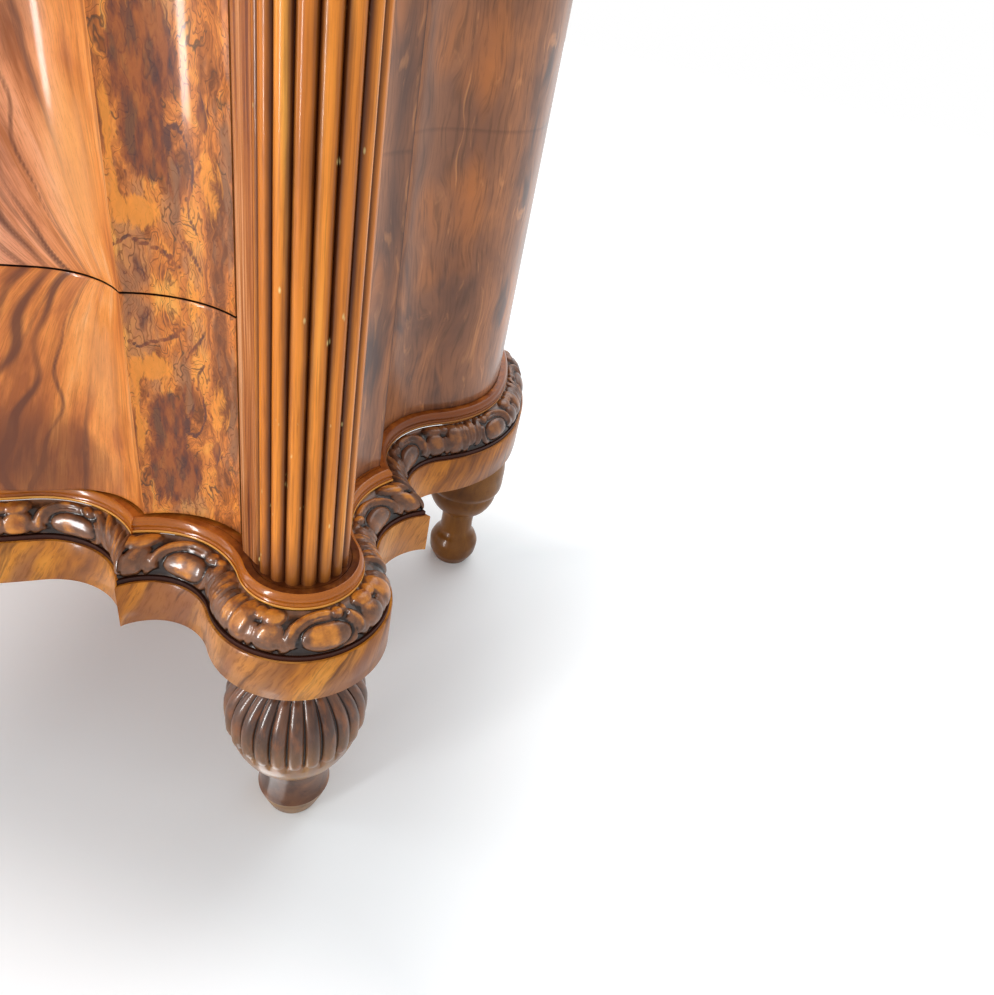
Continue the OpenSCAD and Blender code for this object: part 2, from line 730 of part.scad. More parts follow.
// Dovetails of one drawer side, which lap into the front
module tails(n) {
    height = box_high(n) - box_low(n);
    for (i = [0 : tail_count - 1]) {
        z = box_low(n) + height * (i + 0.5) / tail_count;
        translate([box_inner, 0, 0]) rotate([90, 0, 90]) linear_extrude(drawer_side_t) {
            polygon([[front_back, z - tail_w / 2], [front_back - tail_l, z - tail_w / 2 - tail_flare],
                     [front_back - tail_l, z + tail_w / 2 + tail_flare], [front_back, z + tail_w / 2]]);
        }
    }
}
module drawer_side(n, m) {
    color("#c2a074") middle() mirror([m, 0, 0]) difference() {
        union() {
            translate([box_inner, front_back, box_low(n)]) {
                cube([drawer_side_t, box_d, box_high(n) - box_low(n)]);
            }
            tails(n);
        }
        translate([box_inner - 1, front_back, box_low(n) + bottom_up]) {
            cube([groove_in + 1, box_d + 1, bottom_t]);
        }
    }
}
module drawer_back(n) {
    low = box_low(n) + bottom_up + bottom_t;
    color("#c2a074") middle() translate([-box_inner, box_end - drawer_back_t, low]) {
        cube([2 * box_inner, drawer_back_t, box_high(n) - low - box_top_gap]);
    }
}
module on_bow(n) {
    turn = asin(knob_x / bow_r(body_plan));
    knob_y = bow_centre_y - bow_r(body_plan) * cos(turn);
    for (m = [0, 1]) {
        mirror([m, 0, 0]) translate([knob_x, knob_y, (front_low(n) + front_high(n)) / 2]) {
            rotate([90, 0, turn]) children();
        }
    }
}
module drawer_front(n) {
    color("#b5692b") middle() difference() {
        slab(front_low(n), front_high(n)) difference() {
            intersection() {
                full_plan(body_plan, body_back);
                translate([-front_half, front_back - FAR]) square([2 * front_half, FAR]);
            }
            translate([0, bow_centre_y]) circle(r = bow_inner_r);
        }
        for (m = [0, 1]) {
            mirror([m, 0, 0]) {
                translate([box_half, front_back - tail_l - 1, front_low(n) - 1]) {
                    cube([FAR, FAR, front_high(n) - front_low(n) + 2]);
                }
                tails(n);
            }
        }
        slab(box_low(n) + bottom_up, box_low(n) + bottom_up + bottom_t) bottom_plan();
        on_bow(n) translate([0, 0, -FAR / 2]) cylinder(r = knob_spigot_r, h = FAR / 2 + 10);
    }
}
module knobs(n) {
    color("#5a3a22") middle() on_bow(n) turned([
        [knob_spigot_r, 1 - front_t], [knob_spigot_r, 0], [knob_r - 4, 0], [knob_r - 4, 2.5],
        [knob_r / 2, 5], [knob_r * 0.39, knob_l * 0.34], [knob_r * 0.44, knob_l * 0.47],
        [knob_r * 0.83, knob_l * 0.62], [knob_r, knob_l * 0.78], [knob_r * 0.89, knob_l * 0.91],
        [knob_r * 0.55, knob_l - 0.5], [knob_r * 0.28, knob_l]]);
}

left() front_foot();  // front_foot_left
right() front_foot();  // front_foot_right
left() rear_foot();  // rear_foot_left
right() rear_foot();  // rear_foot_right
plinth_front();
left() plinth_side();  // plinth_left
right() plinth_side();  // plinth_right
plinth_back();
left() corner_block();  // corner_block_left
right() corner_block();  // corner_block_right
left() rear_block();  // rear_block_left
right() rear_block();  // rear_block_right
carving_front();
left() carving_corner();  // carving_corner_left
right() carving_corner();  // carving_corner_right
left() carving_side();  // carving_left
right() carving_side();  // carving_right
astragal_front();
left() astragal_corner();  // astragal_corner_left
right() astragal_corner();  // astragal_corner_right
left() astragal_side();  // astragal_left
right() astragal_side();  // astragal_right
deck();
left() side_panel();  // side_panel_left
right() side_panel();  // side_panel_right
left() corner_post();  // corner_post_left
right() corner_post();  // corner_post_right
left() column();  // column_left
right() column();  // column_right
union() {  // rear_posts
    left() rear_post();
    right() rear_post();
}
back_panel();
top_rail_front();
top_rail_back();
divider_lower();
divider_upper();
runners();
guides();
dust_board(1);  // dust_board_lower
dust_board(2);  // dust_board_upper
drawer_stops();
top();
drawer_front(1);  // drawer_1_front
drawer_side(1, 1);  // drawer_1_left
drawer_side(1, 0);  // drawer_1_right
drawer_back(1);  // drawer_1_back
drawer_bottom(1);  // drawer_1_bottom
knobs(1);  // drawer_1_knobs
drawer_front(2);  // drawer_2_front
drawer_side(2, 1);  // drawer_2_left
drawer_side(2, 0);  // drawer_2_right
drawer_back(2);  // drawer_2_back
drawer_bottom(2);  // drawer_2_bottom
knobs(2);  // drawer_2_knobs
drawer_front(3);  // drawer_3_front
drawer_side(3, 1);  // drawer_3_left
drawer_side(3, 0);  // drawer_3_right
drawer_back(3);  // drawer_3_back
drawer_bottom(3);  // drawer_3_bottom
knobs(3);  // drawer_3_knobs
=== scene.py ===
import math

import bpy
import numpy as np
from mathutils import Euler, Matrix, Vector

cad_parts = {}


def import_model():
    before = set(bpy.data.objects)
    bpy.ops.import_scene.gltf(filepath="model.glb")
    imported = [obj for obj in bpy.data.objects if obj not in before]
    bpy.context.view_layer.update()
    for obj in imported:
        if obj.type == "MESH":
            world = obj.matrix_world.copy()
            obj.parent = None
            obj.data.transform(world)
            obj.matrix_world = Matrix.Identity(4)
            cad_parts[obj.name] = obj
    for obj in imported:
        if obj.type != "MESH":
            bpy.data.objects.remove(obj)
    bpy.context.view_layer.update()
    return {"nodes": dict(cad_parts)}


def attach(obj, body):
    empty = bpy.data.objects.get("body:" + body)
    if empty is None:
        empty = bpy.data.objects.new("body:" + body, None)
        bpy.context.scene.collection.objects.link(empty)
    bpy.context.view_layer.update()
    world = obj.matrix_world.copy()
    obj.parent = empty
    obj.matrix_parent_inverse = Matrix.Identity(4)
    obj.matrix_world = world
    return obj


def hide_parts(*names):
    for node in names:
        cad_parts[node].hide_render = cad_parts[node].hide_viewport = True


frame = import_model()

scene = bpy.context.scene
scene.view_settings.view_transform = "Standard"


def added(name, data):
    """A new object in the scene."""
    obj = bpy.data.objects.new(name, data)
    scene.collection.objects.link(obj)
    return obj


# ---------------------------------------------------------------- camera, fitted to the photograph
camera = added("camera", bpy.data.cameras.new("camera"))
scene.camera = camera
camera.data.sensor_width = 36.0
camera.data.lens = 27.576
camera.data.clip_start, camera.data.clip_end = 0.02, 40.0
RIGHT = (0.95346323, 0.24537526, 0.17521089)
DOWN = (0.28374145, -0.53368505, -0.79666245)
AHEAD = (-0.10197383, 0.80930294, -0.5784722)
EYE = (0.70176, -0.59736, 0.72275)
camera.matrix_world = Matrix([(r, -d, -a, e) for r, d, a, e in zip(RIGHT, DOWN, AHEAD, EYE)] + [(0, 0, 0, 1)])

# ---------------------------------------------------------------- plan of the piece
# Lengths are millimetres from the axis of the right-hand column, x outwards and y to the back.
MM = 0.001
COL_X, COL_Y = 510.0, -179.476
BACK = 482.0
# Heights at which the band, quirk, carving, astragal, deck, case and top's upper face begin
BAND, QUIRK, CARVE, ASTRAGAL, DECK, BODY, TOP = 235.0, 277.0, 281.5, 307.0, 319.0, 849.0, 879.0
SIDES = ((1, "_right"), (-1, "_left"))
# The side's hollow behind the column, the sweep after it, the round hip and the long rear curve
SIDE_SCOOP, SIDE_SWEEP, SIDE_SWEEP_R = (93.0, 95.0), (81.0, 198.0), 92.0
HIP_R, HIP_TURN, REAR_R = 114.0, 130.0, 264.0


def polar(r, a):
    a = np.radians(a)
    return np.stack([r * np.cos(a), r * np.sin(a)], -1)


def angle_of(v):
    return math.degrees(math.atan2(v[1], v[0]))


def fixed(angle):
    """An arc's end that is the same at every distance."""
    return lambda d: d * 0 + angle


class Plan:
    """One family of parallel outlines: arcs of the right-hand half at a distance d outside a core line."""

    def __init__(self, column, a, ra, b, rb, turn, front_out, side_out):
        self.back = BACK
        self.ra2 = ra2 = math.hypot(*SIDE_SCOOP) - column
        reach = (COL_X + b[0]) / math.sin(math.radians(turn))
        self.bow_c = np.array([-COL_X, b[1] + reach * math.cos(math.radians(turn))])
        self.bow_r = reach - rb
        self.side_c = np.array(SIDE_SWEEP) + polar(SIDE_SWEEP_R + HIP_R, HIP_TURN)
        self.rear_c = self.side_c - [REAR_R - HIP_R, 0]
        self.front_mitre = fm = (self.meet(a, ra, b, rb, (0, 1)),
                                 self.meet(a, ra - front_out[0], b, rb - front_out[1], (0, 1)))
        self.side_mitre = sm = tuple(self.meet(SIDE_SCOOP, ra2 - out, SIDE_SWEEP, SIDE_SWEEP_R - out, (-1, 0))
                                     for out in (0, side_out))
        ta, ta2, dist = angle_of(a), angle_of(SIDE_SCOOP), math.hypot(*a)

        def bite(r0, r1):
            return np.degrees(np.arccos(np.minimum((dist * dist + r0 * r0 - r1 * r1) / (2 * dist * r0), 1)))

        # Each arc: centre, radius at d = 0, whether it grows with d, and its first and last angle
        self.runs = {
            "front": [
                (self.bow_c, self.bow_r, 1, fixed(-90.0), fixed(-90.0 + turn)),
                (b, rb, -1, fixed(90.0 + turn), lambda d: self.hit(b, rb - d, *fm))],
            "corner": [
                (a, ra, -1, lambda d: self.hit(a, ra - d, *fm), lambda d: ta + 180 + bite(ra - d, column + d)),
                ((0.0, 0.0), column, 1, lambda d: ta - bite(column + d, ra - d), fixed(ta2)),
                (SIDE_SCOOP, ra2, -1, fixed(ta2 + 180), lambda d: self.hit(SIDE_SCOOP, ra2 - d, *sm) % 360)],
            "side": [
                (SIDE_SWEEP, SIDE_SWEEP_R, -1, lambda d: self.hit(SIDE_SWEEP, SIDE_SWEEP_R - d, *sm) % 360,
                 fixed(HIP_TURN)),
                (self.side_c, HIP_R, 1, fixed(HIP_TURN - 180.0), fixed(0.0)),
                (self.rear_c, REAR_R, 1, fixed(0.0),
                 lambda d: np.degrees(np.arcsin((self.back - self.rear_c[1]) / (REAR_R + d))))]}

    @staticmethod
    def meet(c0, r0, c1, r1, along):
        """Where two circles cross, on the side that along points to."""
        c0, c1 = np.array(c0, float), np.array(c1, float)
        d = np.hypot(*(c1 - c0))
        e = (c1 - c0) / d
        n = np.array([-e[1], e[0]])
        a = (r0 ** 2 - r1 ** 2 + d * d) / (2 * d)
        h = math.sqrt(max(r0 * r0 - a * a, 0))
        return c0 + a * e + (h if n @ np.array(along) > 0 else -h) * n

    @staticmethod
    def hit(c, r, p, q):
        """Angles at which circles of radius r about c cross the line through p and q, near p."""
        e = (q - p) / np.hypot(*(q - p))
        w = p - np.array(c, float)
        b = w @ e
        root = np.sqrt(np.maximum(b * b - w @ w + np.asarray(r, float) ** 2, 0))
        t = np.where(np.abs(-b + root) < np.abs(-b - root), -b + root, -b - root)
        x = w + t[..., None] * e
        return np.degrees(np.arctan2(x[..., 1], x[..., 0]))

    def along(self, run, d, step, keep=None):
        """Points (n, m, 2), outward normals (n, m, 2) and arc length (n,) of a run at distances d (m,)."""
        d = np.asarray(d, float)
        pts, nor, s, total = [], [], [], 0.0
        for k, (c, r, sign, f0, f1) in enumerate(self.runs[run]):
            if keep is not None and k != keep:
                continue
            a0, a1 = f0(d), f1(d)
            radius = r + sign * d
            length = abs(float(np.mean(np.radians(a1 - a0) * radius)))
            n = max(2, int(round(length / step)) + 1)
            u = np.linspace(0, 1, n)[(1 if pts else 0):]
            ray = polar(1.0, a0[None, :] * (1 - u[:, None]) + a1[None, :] * u[:, None])
            pts.append(np.array(c) + ray * radius[None, :, None])
            nor.append(ray * sign)
            s.append(total + u * length)
            total += length
        return np.concatenate(pts), np.concatenate(nor), np.concatenate(s)

    def outline(self, run, step, keep=None, d=0.0):
        """One line of a run, at distance d."""
        return self.along(run, [d], step, keep)[0][:, 0]


FRONT_SCOOP, FRONT_SCOOP_R = (-80.0, -69.3), 73.8
REACH = 36.0  # how far the base's band stands outside its core line
BASE = Plan(38.0, (-90.0, -79.0), math.hypot(90, 79) - 38, (-180.0, -84.0), 88.0, 35.0, (REACH, 28), REACH)
CASE = Plan(36.0, FRONT_SCOOP, FRONT_SCOOP_R, (-160.0, -59.5), 58.0, 32.0, (20, 20), 20)


# ---------------------------------------------------------------- mesh building
class Build:
    """Collects patches of a piece: points, texture coordinates in metres, marks (figure, wear, painted shade and
    painted highlight), grain, faces and their finish.
    """

    def __init__(self):
        self.v, self.uv, self.w, self.g, self.f, self.m, self.n = [], [], [], [], [], [], 0

    def grid(self, p, uv, w=None, mat=0, flip=False, g=None):
        n, m = p.shape[:2]
        i = (np.arange(n - 1)[:, None] * m + np.arange(m - 1)[None, :]).ravel() + self.n
        q = np.stack([i, i + m, i + m + 1, i + 1], 1)
        self.f += (q[:, ::-1] if flip else q).tolist()
        self.m += [mat] * len(q)
        self.add(p.reshape(-1, 3), uv.reshape(-1, 2), None if w is None else w.ravel(),
                 None if g is None else g.reshape(-1, 3))

    def ngon(self, p, flip=False, mat=0):
        i = list(range(self.n, self.n + len(p)))
        self.f.append(i[::-1] if flip else i)
        self.m.append(mat)
        self.add(p, p[:, :2] * MM)

    def add(self, p, uv, w=None, g=None):
        self.v.append(p)
        self.uv.append(uv)
        self.w.append(np.zeros(len(p)) if w is None else w)
        self.g.append(np.concatenate([uv * 20, np.zeros((len(p), 1))], 1) if g is None else g)
        self.n += len(p)


def mirrored(p):
    """The same points on the other side of the middle."""
    p = np.array(p, float)
    p[..., 0] = -p[..., 0] - 2 * COL_X
    return p


def doubled(b):
    """A front piece's right-hand half with its left-hand half, welded in the middle so that shading runs through."""
    v, uv, w, g = (np.concatenate(x) for x in (b.v, b.uv, b.w, b.g))
    n = len(v)
    both = Build()
    both.v, both.uv, both.w, both.g = [v, mirrored(v)], [uv, uv * [-1, 1]], [w, w], [g, g]
    mid = np.where(np.abs(v[:, 0] + COL_X) < 1e-6)[0]
    left = np.arange(n, 2 * n)
    left[mid] = mid
    both.f = b.f + [[int(left[i]) for i in f[::-1]] for f in b.f]
    both.m = b.m * 2
    return both


def world(p, side):
    """Column-axis millimetres to metres in the shared frame; side -1 is the left-hand half."""
    out = np.asarray(p, float) * MM
    out[..., 0] = (out[..., 0] + COL_X * MM) * side
    out[..., 1] += COL_Y * MM
    return out


def piece(name, build, mats, body, nodes, side=1):
    """Makes the mesh object, its coordinates and its finish, and lets it stand for its CAD nodes."""
    faces = build.f if side == 1 else [f[::-1] for f in build.f]
    mesh = bpy.data.meshes.new(name)
    mesh.from_pydata(world(np.concatenate(build.v), side).tolist(), [], faces)
    mesh.polygons.foreach_set("use_smooth", [True] * len(faces))
    mesh.polygons.foreach_set("material_index", build.m)
    layer = mesh.uv_layers.new(name="UVMap")
    loops = np.zeros(len(mesh.loops), np.int32)
    mesh.loops.foreach_get("vertex_index", loops)
    layer.data.foreach_set("uv", np.concatenate(build.uv)[loops].astype(np.float32).ravel())
    worn = mesh.attributes.new("worn", "FLOAT", "POINT")
    worn.data.foreach_set("value", np.concatenate(build.w).astype(np.float32))
    grain = mesh.attributes.new("grain", "FLOAT_VECTOR", "POINT")
    grain.data.foreach_set("vector", np.concatenate(build.g).astype(np.float32).ravel())
    obj = added(name, mesh)
    for m in mats:
        mesh.materials.append(m)
    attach(obj, body)
    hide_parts(*nodes)
    return obj


def of_run(name, build, run, mats, node):
    """A run's piece: one over the whole front, or else one on each side."""
    if run == "front":
        piece(name, doubled(build), mats, "carcass", [node])
    else:
        for side, end in SIDES:
            piece(name + end, build, mats, "carcass", [node + end], side)


def col3(xy, z):
    """Plan points with a height."""
    z = np.broadcast_to(np.asarray(z, float), xy.shape[:-1])
    return np.concatenate([xy, z[..., None]], -1)


def lengths(line):
    """How far along a line each of its points lies."""
    return np.concatenate([[0], np.cumsum(np.hypot(*np.diff(line, axis=0).T))])


def uv_of(s, t):
    """Texture coordinates in metres from two lengths."""
    return np.stack(np.broadcast_arrays(s * MM, t * MM), -1)


def chain(*pts):
    """The straight lines that join points in turn."""
    return [np.array(pair, float) for pair in zip(pts[:-1], pts[1:])]


# ---------------------------------------------------------------- materials
def lin(h):
    """'rrggbb' as linear colour."""
    c = [int(h[i:i + 2], 16) / 255 for i in (0, 2, 4)]
    return tuple(x / 12.92 if x <= 0.04045 else ((x + 0.055) / 1.055) ** 2.4 for x in c)


class Tree:
    """A node tree, built with short calls; gain multiplies each colour given as 'rrggbb'."""

    def __init__(self, owner, gain=(1.0, 1.0, 1.0)):
        owner.use_nodes = True
        self.t, self.gain = owner.node_tree, gain
        self.t.nodes.clear()

    def node(self, kind, out=0, props=None, **inputs):
        n = self.t.nodes.new("ShaderNode" + kind)
        for k, v in (props or {}).items():
            setattr(n, k, v)
        for k, v in inputs.items():
            self.put(n.inputs[int(k[1:]) if k[0] == "i" and k[1:].isdigit() else k.replace("_", " ")], v)
        return n.outputs[out] if n.outputs else None

    def put(self, socket, v):
        if isinstance(v, bpy.types.NodeSocket):
            self.t.links.new(v, socket)
        else:
            socket.default_value = v

    def uv(self):
        return self.node("TexCoord", 2)

    def obj(self):
        return self.node("TexCoord", 3)

    # Per-point marks: figure, wear, and painted shade and painted highlight.
    def worn(self):
        return self.node("Attribute", 2, {"attribute_name": "worn"})

    def figure(self):
        """The coordinates that the front's figure is drawn in; on the fan the third one sets the painted pink
        reflection.
        """
        return self.node("Attribute", 1, {"attribute_name": "grain"})

    def axis(self, v, k):
        return self.node("SeparateXYZ", k, Vector=v)

    def absolute(self, v):
        return self.node("VectorMath", 0, {"operation": "ABSOLUTE"}, i0=v)

    def scale(self, v, xyz, offset=(0, 0, 0)):
        return self.node("Mapping", i0=v, i1=offset, i3=xyz)

    def noise(self, v, scale, detail=4.0, rough=0.55, warp=0.0, out=0):
        return self.node("TexNoise", out, Vector=v, Scale=scale, Detail=detail, Roughness=rough, Distortion=warp)

    def grain(self, v, x, y, detail=4.0, rough=0.6, at=(0, 0), warp=0.0, out=0):
        """Noise with its own scale in each direction."""
        return self.noise(self.scale(v, (x, y, 1), (*at, 0)), 1.0, detail, rough, warp, out)

    def bend(self, v, by, amount):
        return self.node("MixRGB", 0, {"blend_type": "ADD"}, Fac=amount, Color1=v, Color2=by)

    def math(self, op, a, b=0.5):
        return self.node("Math", 0, {"operation": op}, i0=a, i1=b)

    def times(self, a, b):
        return self.math("MULTIPLY", a, b)

    def ragged(self, v, noise, amount):
        """A value made uneven by a noise."""
        return self.math("ADD", v, self.times(self.math("SUBTRACT", noise, 0.5), amount))

    def direct(self):
        """One for what is seen straight or in a gloss, nought for what only lights."""
        rays = self.t.nodes.new("ShaderNodeLightPath")
        return self.math("MAXIMUM", rays.outputs["Is Camera Ray"], rays.outputs["Is Glossy Ray"])

    def ramp(self, fac, stops, mode="LINEAR"):
        """A ramp through stops, which are places and values in turn."""
        n = self.t.nodes.new("ShaderNodeValToRGB")
        n.color_ramp.interpolation = mode
        elements = n.color_ramp.elements
        while len(elements) < len(stops) // 2:
            elements.new(0.5)
        for e, x, c in zip(elements, stops[::2], stops[1::2]):
            e.position = x
            e.color = self.tone(c) if isinstance(c, str) else (c, c, c, 1)
        self.put(n.inputs[0], fac)
        return n.outputs[0]

    def tone(self, h):
        return (*(min(c * g, 0.95) for c, g in zip(lin(h), self.gain)), 1)

    def mix(self, fac, a, b):
        n = self.t.nodes.new("ShaderNodeMix")
        n.data_type = "RGBA"
        for s, v in ((0, fac), (6, a), (7, b)):
            self.put(n.inputs[s], self.tone(v) if isinstance(v, str) else v)
        return n.outputs[2]

    def layers(self, col, *rows):
        """Lays shades over a colour, each as far as the ramp of its factor says."""
        for fac, stops, shade in rows:
            col = self.mix(self.ramp(fac, stops), col, shade)
        return col


class Mat(Tree):
    """A material."""

    def __init__(self, name, gain=(1.0, 1.0, 1.0)):
        self.mat = bpy.data.materials.new(name)
        super().__init__(self.mat, gain)

    def finish(self, color, rough, bump=None, strength=0.0, dist=0.0, coat=0.0, coat_rough=0.1, spec=0.0, glow=None):
        inputs = {"Base_Color": color, "Roughness": rough, "Specular_IOR_Level": spec}
        if coat:
            inputs.update(Coat_Weight=coat, Coat_Roughness=coat_rough)
        if bump is not None:
            inputs["Normal"] = self.node("Bump", Height=bump, Strength=strength, Distance=dist)
        shader = self.node("BsdfPrincipled", **inputs)
        self.node("OutputMaterial", i0=shader if glow is None else self.node("AddShader", i0=shader, i1=glow))
        return self.mat


def streaky(name, colours, along=(1, 1, 1), warp=0.2, coat=0.175, rough=0.34, dark="2a1810", dark_amount=0.3,
            coords="uv", big=9.0, seed=0.0, rubbed_highlight=None, gain=(1, 1, 1), coat_rough=0.1, at=(0.25, 0.45, 0.6, 0.8)):
    """Polished wood: stretched figure in the coordinates, dark streaks, fine pores."""
    m = Mat(name, gain)
    v = m.uv() if coords == "uv" else m.obj()
    wave = m.noise(m.scale(v, (3, 3, 3), (seed, 0, 0)), 1.6, 3.0, 0.5, out=1)
    bent = m.bend(m.scale(v, along, (seed, seed * 0.7, 0)), wave, warp)
    veins = m.noise(bent, big * 2.6, 6.0, 0.65, 0.4)
    pores = m.noise(m.scale(v, [14 * a for a in along]), big * 6, 2.0, 0.5)
    rows = [(veins, (0.30, dark_amount, 0.44, 0), dark), (pores, (0.5, 0, 0.72, 0.38), dark)]
    # Where given, a pale layer over the marked part: rubbed wear and painted highlight on the moulding's fillet.
    if rubbed_highlight:
        rows.append((m.worn(), *rubbed_highlight))
    col = m.ramp(m.noise(bent, big, 5.0, 0.6), [x for stop in zip(at, colours.split()) for x in stop])
    return m.finish(m.layers(col, *rows), rough, pores, 0.08, 0.0004, coat, coat_rough, 0.125)


def fan_veneer():
    m = Mat("front_fan", (1.06, 0.97, 0.75))
    g = m.figure()
    bent = m.bend(g, m.noise(m.uv(), 11.0, 3.0, 0.5, out=1), 0.7)
    broad = m.grain(bent, 0.62, 0.7)
    rag = m.grain(bent, 5, 2, 4.0, 0.65, (5, 0))
    pores = m.grain(bent, 40, 14, 2.0, 0.5)
    # The pink layer laid by the figure's third coordinate, growing away from the ridge, is a painted reflection.
    col = m.layers(
        m.ramp(broad, (0.34, "a4603a", 0.44, "cf7f48", 0.52, "e39250", 0.60, "ee9f5c", 0.72, "f3b482")),
        (m.ragged(m.axis(g, 2), broad, 0.5), (0.14, 0, 0.32, 0.75, 0.5, 0.5, 0.8, 0.15), "eaac9c"),
        (m.grain(bent, 2.6, 0.8, 5.0, at=(3, 0)), (0.34, 0.6, 0.48, 0), "b0683a"),
        (m.grain(bent, 15, 1.8, 4.0, 0.65, (9, 0)), (0.36, 0.42, 0.5, 0), "a3602f"))
    ring = m.math("FRACT", m.math("ADD", m.times(m.axis(bent, 0), 0.55), m.times(rag, 0.35)))
    where = m.ramp(m.grain(bent, 0.8, 0.35, 2.0, 0.5, (6, 6)), (0.42, 0, 0.60, 0.75))
    col = m.mix(m.times(m.ramp(ring, (0.40, 0, 0.49, 1, 0.53, 0.7, 0.60, 0)), where), col, "6b4436")
    lift = m.ragged(m.worn(), rag, 0.35)
    col = m.layers(
        col,
        (lift, (0.1, 0, 0.5, 0.55), "f6b274"),
        (m.times(lift, -1.0), (0.14, 0, 0.38, 0.5, 0.7, 0.88), "643c32"),
        (pores, (0.58, 0, 0.70, 0.35), "7b4426"))
    return m.finish(col, 0.36, pores, 0.05, 0.0003, 0.25, 0.1, 0.11)


def burl_veneer():
    m = Mat("front_burl", (1.11, 0.98, 0.72))
    g = m.figure()
    bent = m.bend(g, m.noise(g, 1.1, 3.0, 0.55, out=1), 0.9)
    low = m.grain(bent, 0.8, 0.42, 3.0, 0.5, (2, 5))
    col = m.layers(
        m.ramp(m.grain(bent, 1.15, 0.62, 5.0, warp=0.9),
               (0.34, "74462e", 0.43, "a8673c", 0.50, "cd8046", 0.57, "e2984e", 0.68, "f3b062")),
        (m.grain(g, 0.9, 0.45, 3.0, 0.5, (8, 3)), (0.55, 0, 0.63, 0.5), "a5806c"),
        (m.math("FRACT", m.times(low, 26.0)), (0.38, 0, 0.5, 0.8, 0.62, 0), "74432c"))
    bold = m.ramp(m.math("FRACT", m.times(low, 8.0)), (0.44, 0, 0.5, 1, 0.57, 0))
    where = m.ramp(m.grain(g, 0.8, 0.5, 2.0, 0.5, (6, 6)), (0.40, 0.1, 0.55, 0.9))
    col = m.mix(m.times(bold, where), col, "4c4038")
    fleck = m.grain(bent, 4.5, 1.1, 7.0, 0.7, (1, 7))
    lift = m.ragged(m.worn(), fleck, 1.8)
    pores = m.grain(bent, 22, 9, 3.0)
    col = m.layers(
        col,
        (fleck, (0.38, 0.4, 0.46, 0), "85502f"),
        (lift, (0.38, 0, 0.6, 0.75), "f0a04a"),
        (m.times(lift, -1.0), (0.30, 0, 0.58, 0.85),
         m.ramp(m.grain(g, 3, 1.2), (0.40, "4a3640", 0.50, "74443a", 0.6, "985a3c"))),
        (pores, (0.60, 0, 0.72, 0.32), "6b3c22"))
    return m.finish(col, 0.36, pores, 0.05, 0.0003, 0.25, 0.1, 0.11)


def side_wood():
    """The side's veneer, with paler light and a dark line by the ridge, and its joint at half height."""
    m = Mat("side_veneer", (1.62, 1.42, 1.22))
    v, w = m.uv(), m.worn()
    bent = m.bend(v, m.grain(v, 9, 4, 3.0, 0.55, out=1), 0.085)
    fibre = m.grain(bent, 330, 24, 3.0, 0.65)
    col = m.layers(
        m.ramp(m.grain(bent, 17, 6.5, warp=0.3),
               (0.28, "4f3830", 0.42, "6e4c3a", 0.54, "845a40", 0.66, "9a6845", 0.80, "b47a48")),
        (m.grain(v, 13, 7, 2.0, 0.5, (4, 2)), (0.56, 0, 0.72, 0.6), "b06e34"),
        (m.grain(bent, 24, 8, 3.0, at=(7, 1)), (0.32, 0.8, 0.42, 0), "3c2f30"),
        (fibre, (0.34, 0.5, 0.52, 0), "46301f"),
        (m.grain(bent, 70, 16, at=(2, 9), warp=1.0), (0.60, 0, 0.72, 0.45), "c08a5c"),
        # Pale by the marks: the painted highlight past the ridge; dark: the joint at the ridge and the darker hollow
        # before it.
        (w, (0.1, 0, 0.9, 0.42), "c09a8c"),
        (m.times(w, -1.0), (0.1, 0, 0.9, 0.7), "3a2a28"),
        (m.axis(v, 1), (0, 0.7, 0.0006, 0), "3a241a"))
    return m.finish(col, 0.4, fibre, 0.06, 0.0003, 0.5, 0.22, 0.125)


def reed_wood():
    """The reeds, painted dark between as painted shade in the grooves, darker near their foot, with small chips."""
    m = Mat("reed_walnut", (1.5, 1.38, 0.95))
    v = m.uv()
    fibre = m.grain(v, 700, 16, 3.0)
    rag = m.grain(v, 120, 30, 2.0, 0.5)
    col = m.layers(
        m.ramp(m.grain(v, 60, 2.2, 3.0), (0.30, "9c5a24", 0.45, "b96f2c", 0.58, "cb8036", 0.75, "dd9a50")),
        (fibre, (0.34, 0.45, 0.52, 0), "7d4418"),
        (m.ragged(m.worn(), rag, 0.25), (0.05, 0, 0.3, 0.5, 0.6, 0.9, 0.85, 1), "3a1809"),
        (m.math("ADD", m.axis(v, 1), m.times(rag, 0.02)), (0.330, 0.8, 0.352, 0.35, 0.375, 0), "4a281a"))
    cell = m.node("TexVoronoi", Vector=m.scale(v, (150, 60, 1)), Scale=1.0, Randomness=1.0)
    some = m.ramp(m.grain(v, 90, 45, 1.0, 0.5, (3, 3)), (0.56, 0, 0.62, 0.8))
    col = m.mix(m.times(m.ramp(cell, (0.06, 1, 0.16, 0)), some), col, "e8c69c")
    return m.finish(col, 0.34, fibre, 0.08, 0.0003, 0.25, 0.12, 0.11)


def ledge_wood():
    """The astragal's flat ledge and the deck, darker round the column's foot: partly grime, partly painted shade."""
    m = Mat("ledge_walnut")
    v = m.obj()
    rag = m.noise(v, 70.0, 4.0, 0.6)
    far = m.node("VectorMath", 1, {"operation": "DISTANCE"}, i0=m.scale(m.absolute(v), (1, 1, 0)),
                 i1=(COL_X * MM, -COL_Y * MM, 0))
    col = m.layers(
        m.ramp(rag, (0.32, "78390f", 0.5, "9c5218", 0.68, "bb6c26")),
        (m.ragged(m.times(far, 10.0), rag, 0.3), (0.36, 0.9, 0.52, 0.4, 0.72, 0), "471f0c"))
    return m.finish(col, m.ramp(rag, (0.3, 0.26, 0.7, 0.42)), rag, 0.08, 0.0004, 0.35, 0.14, 0.15)


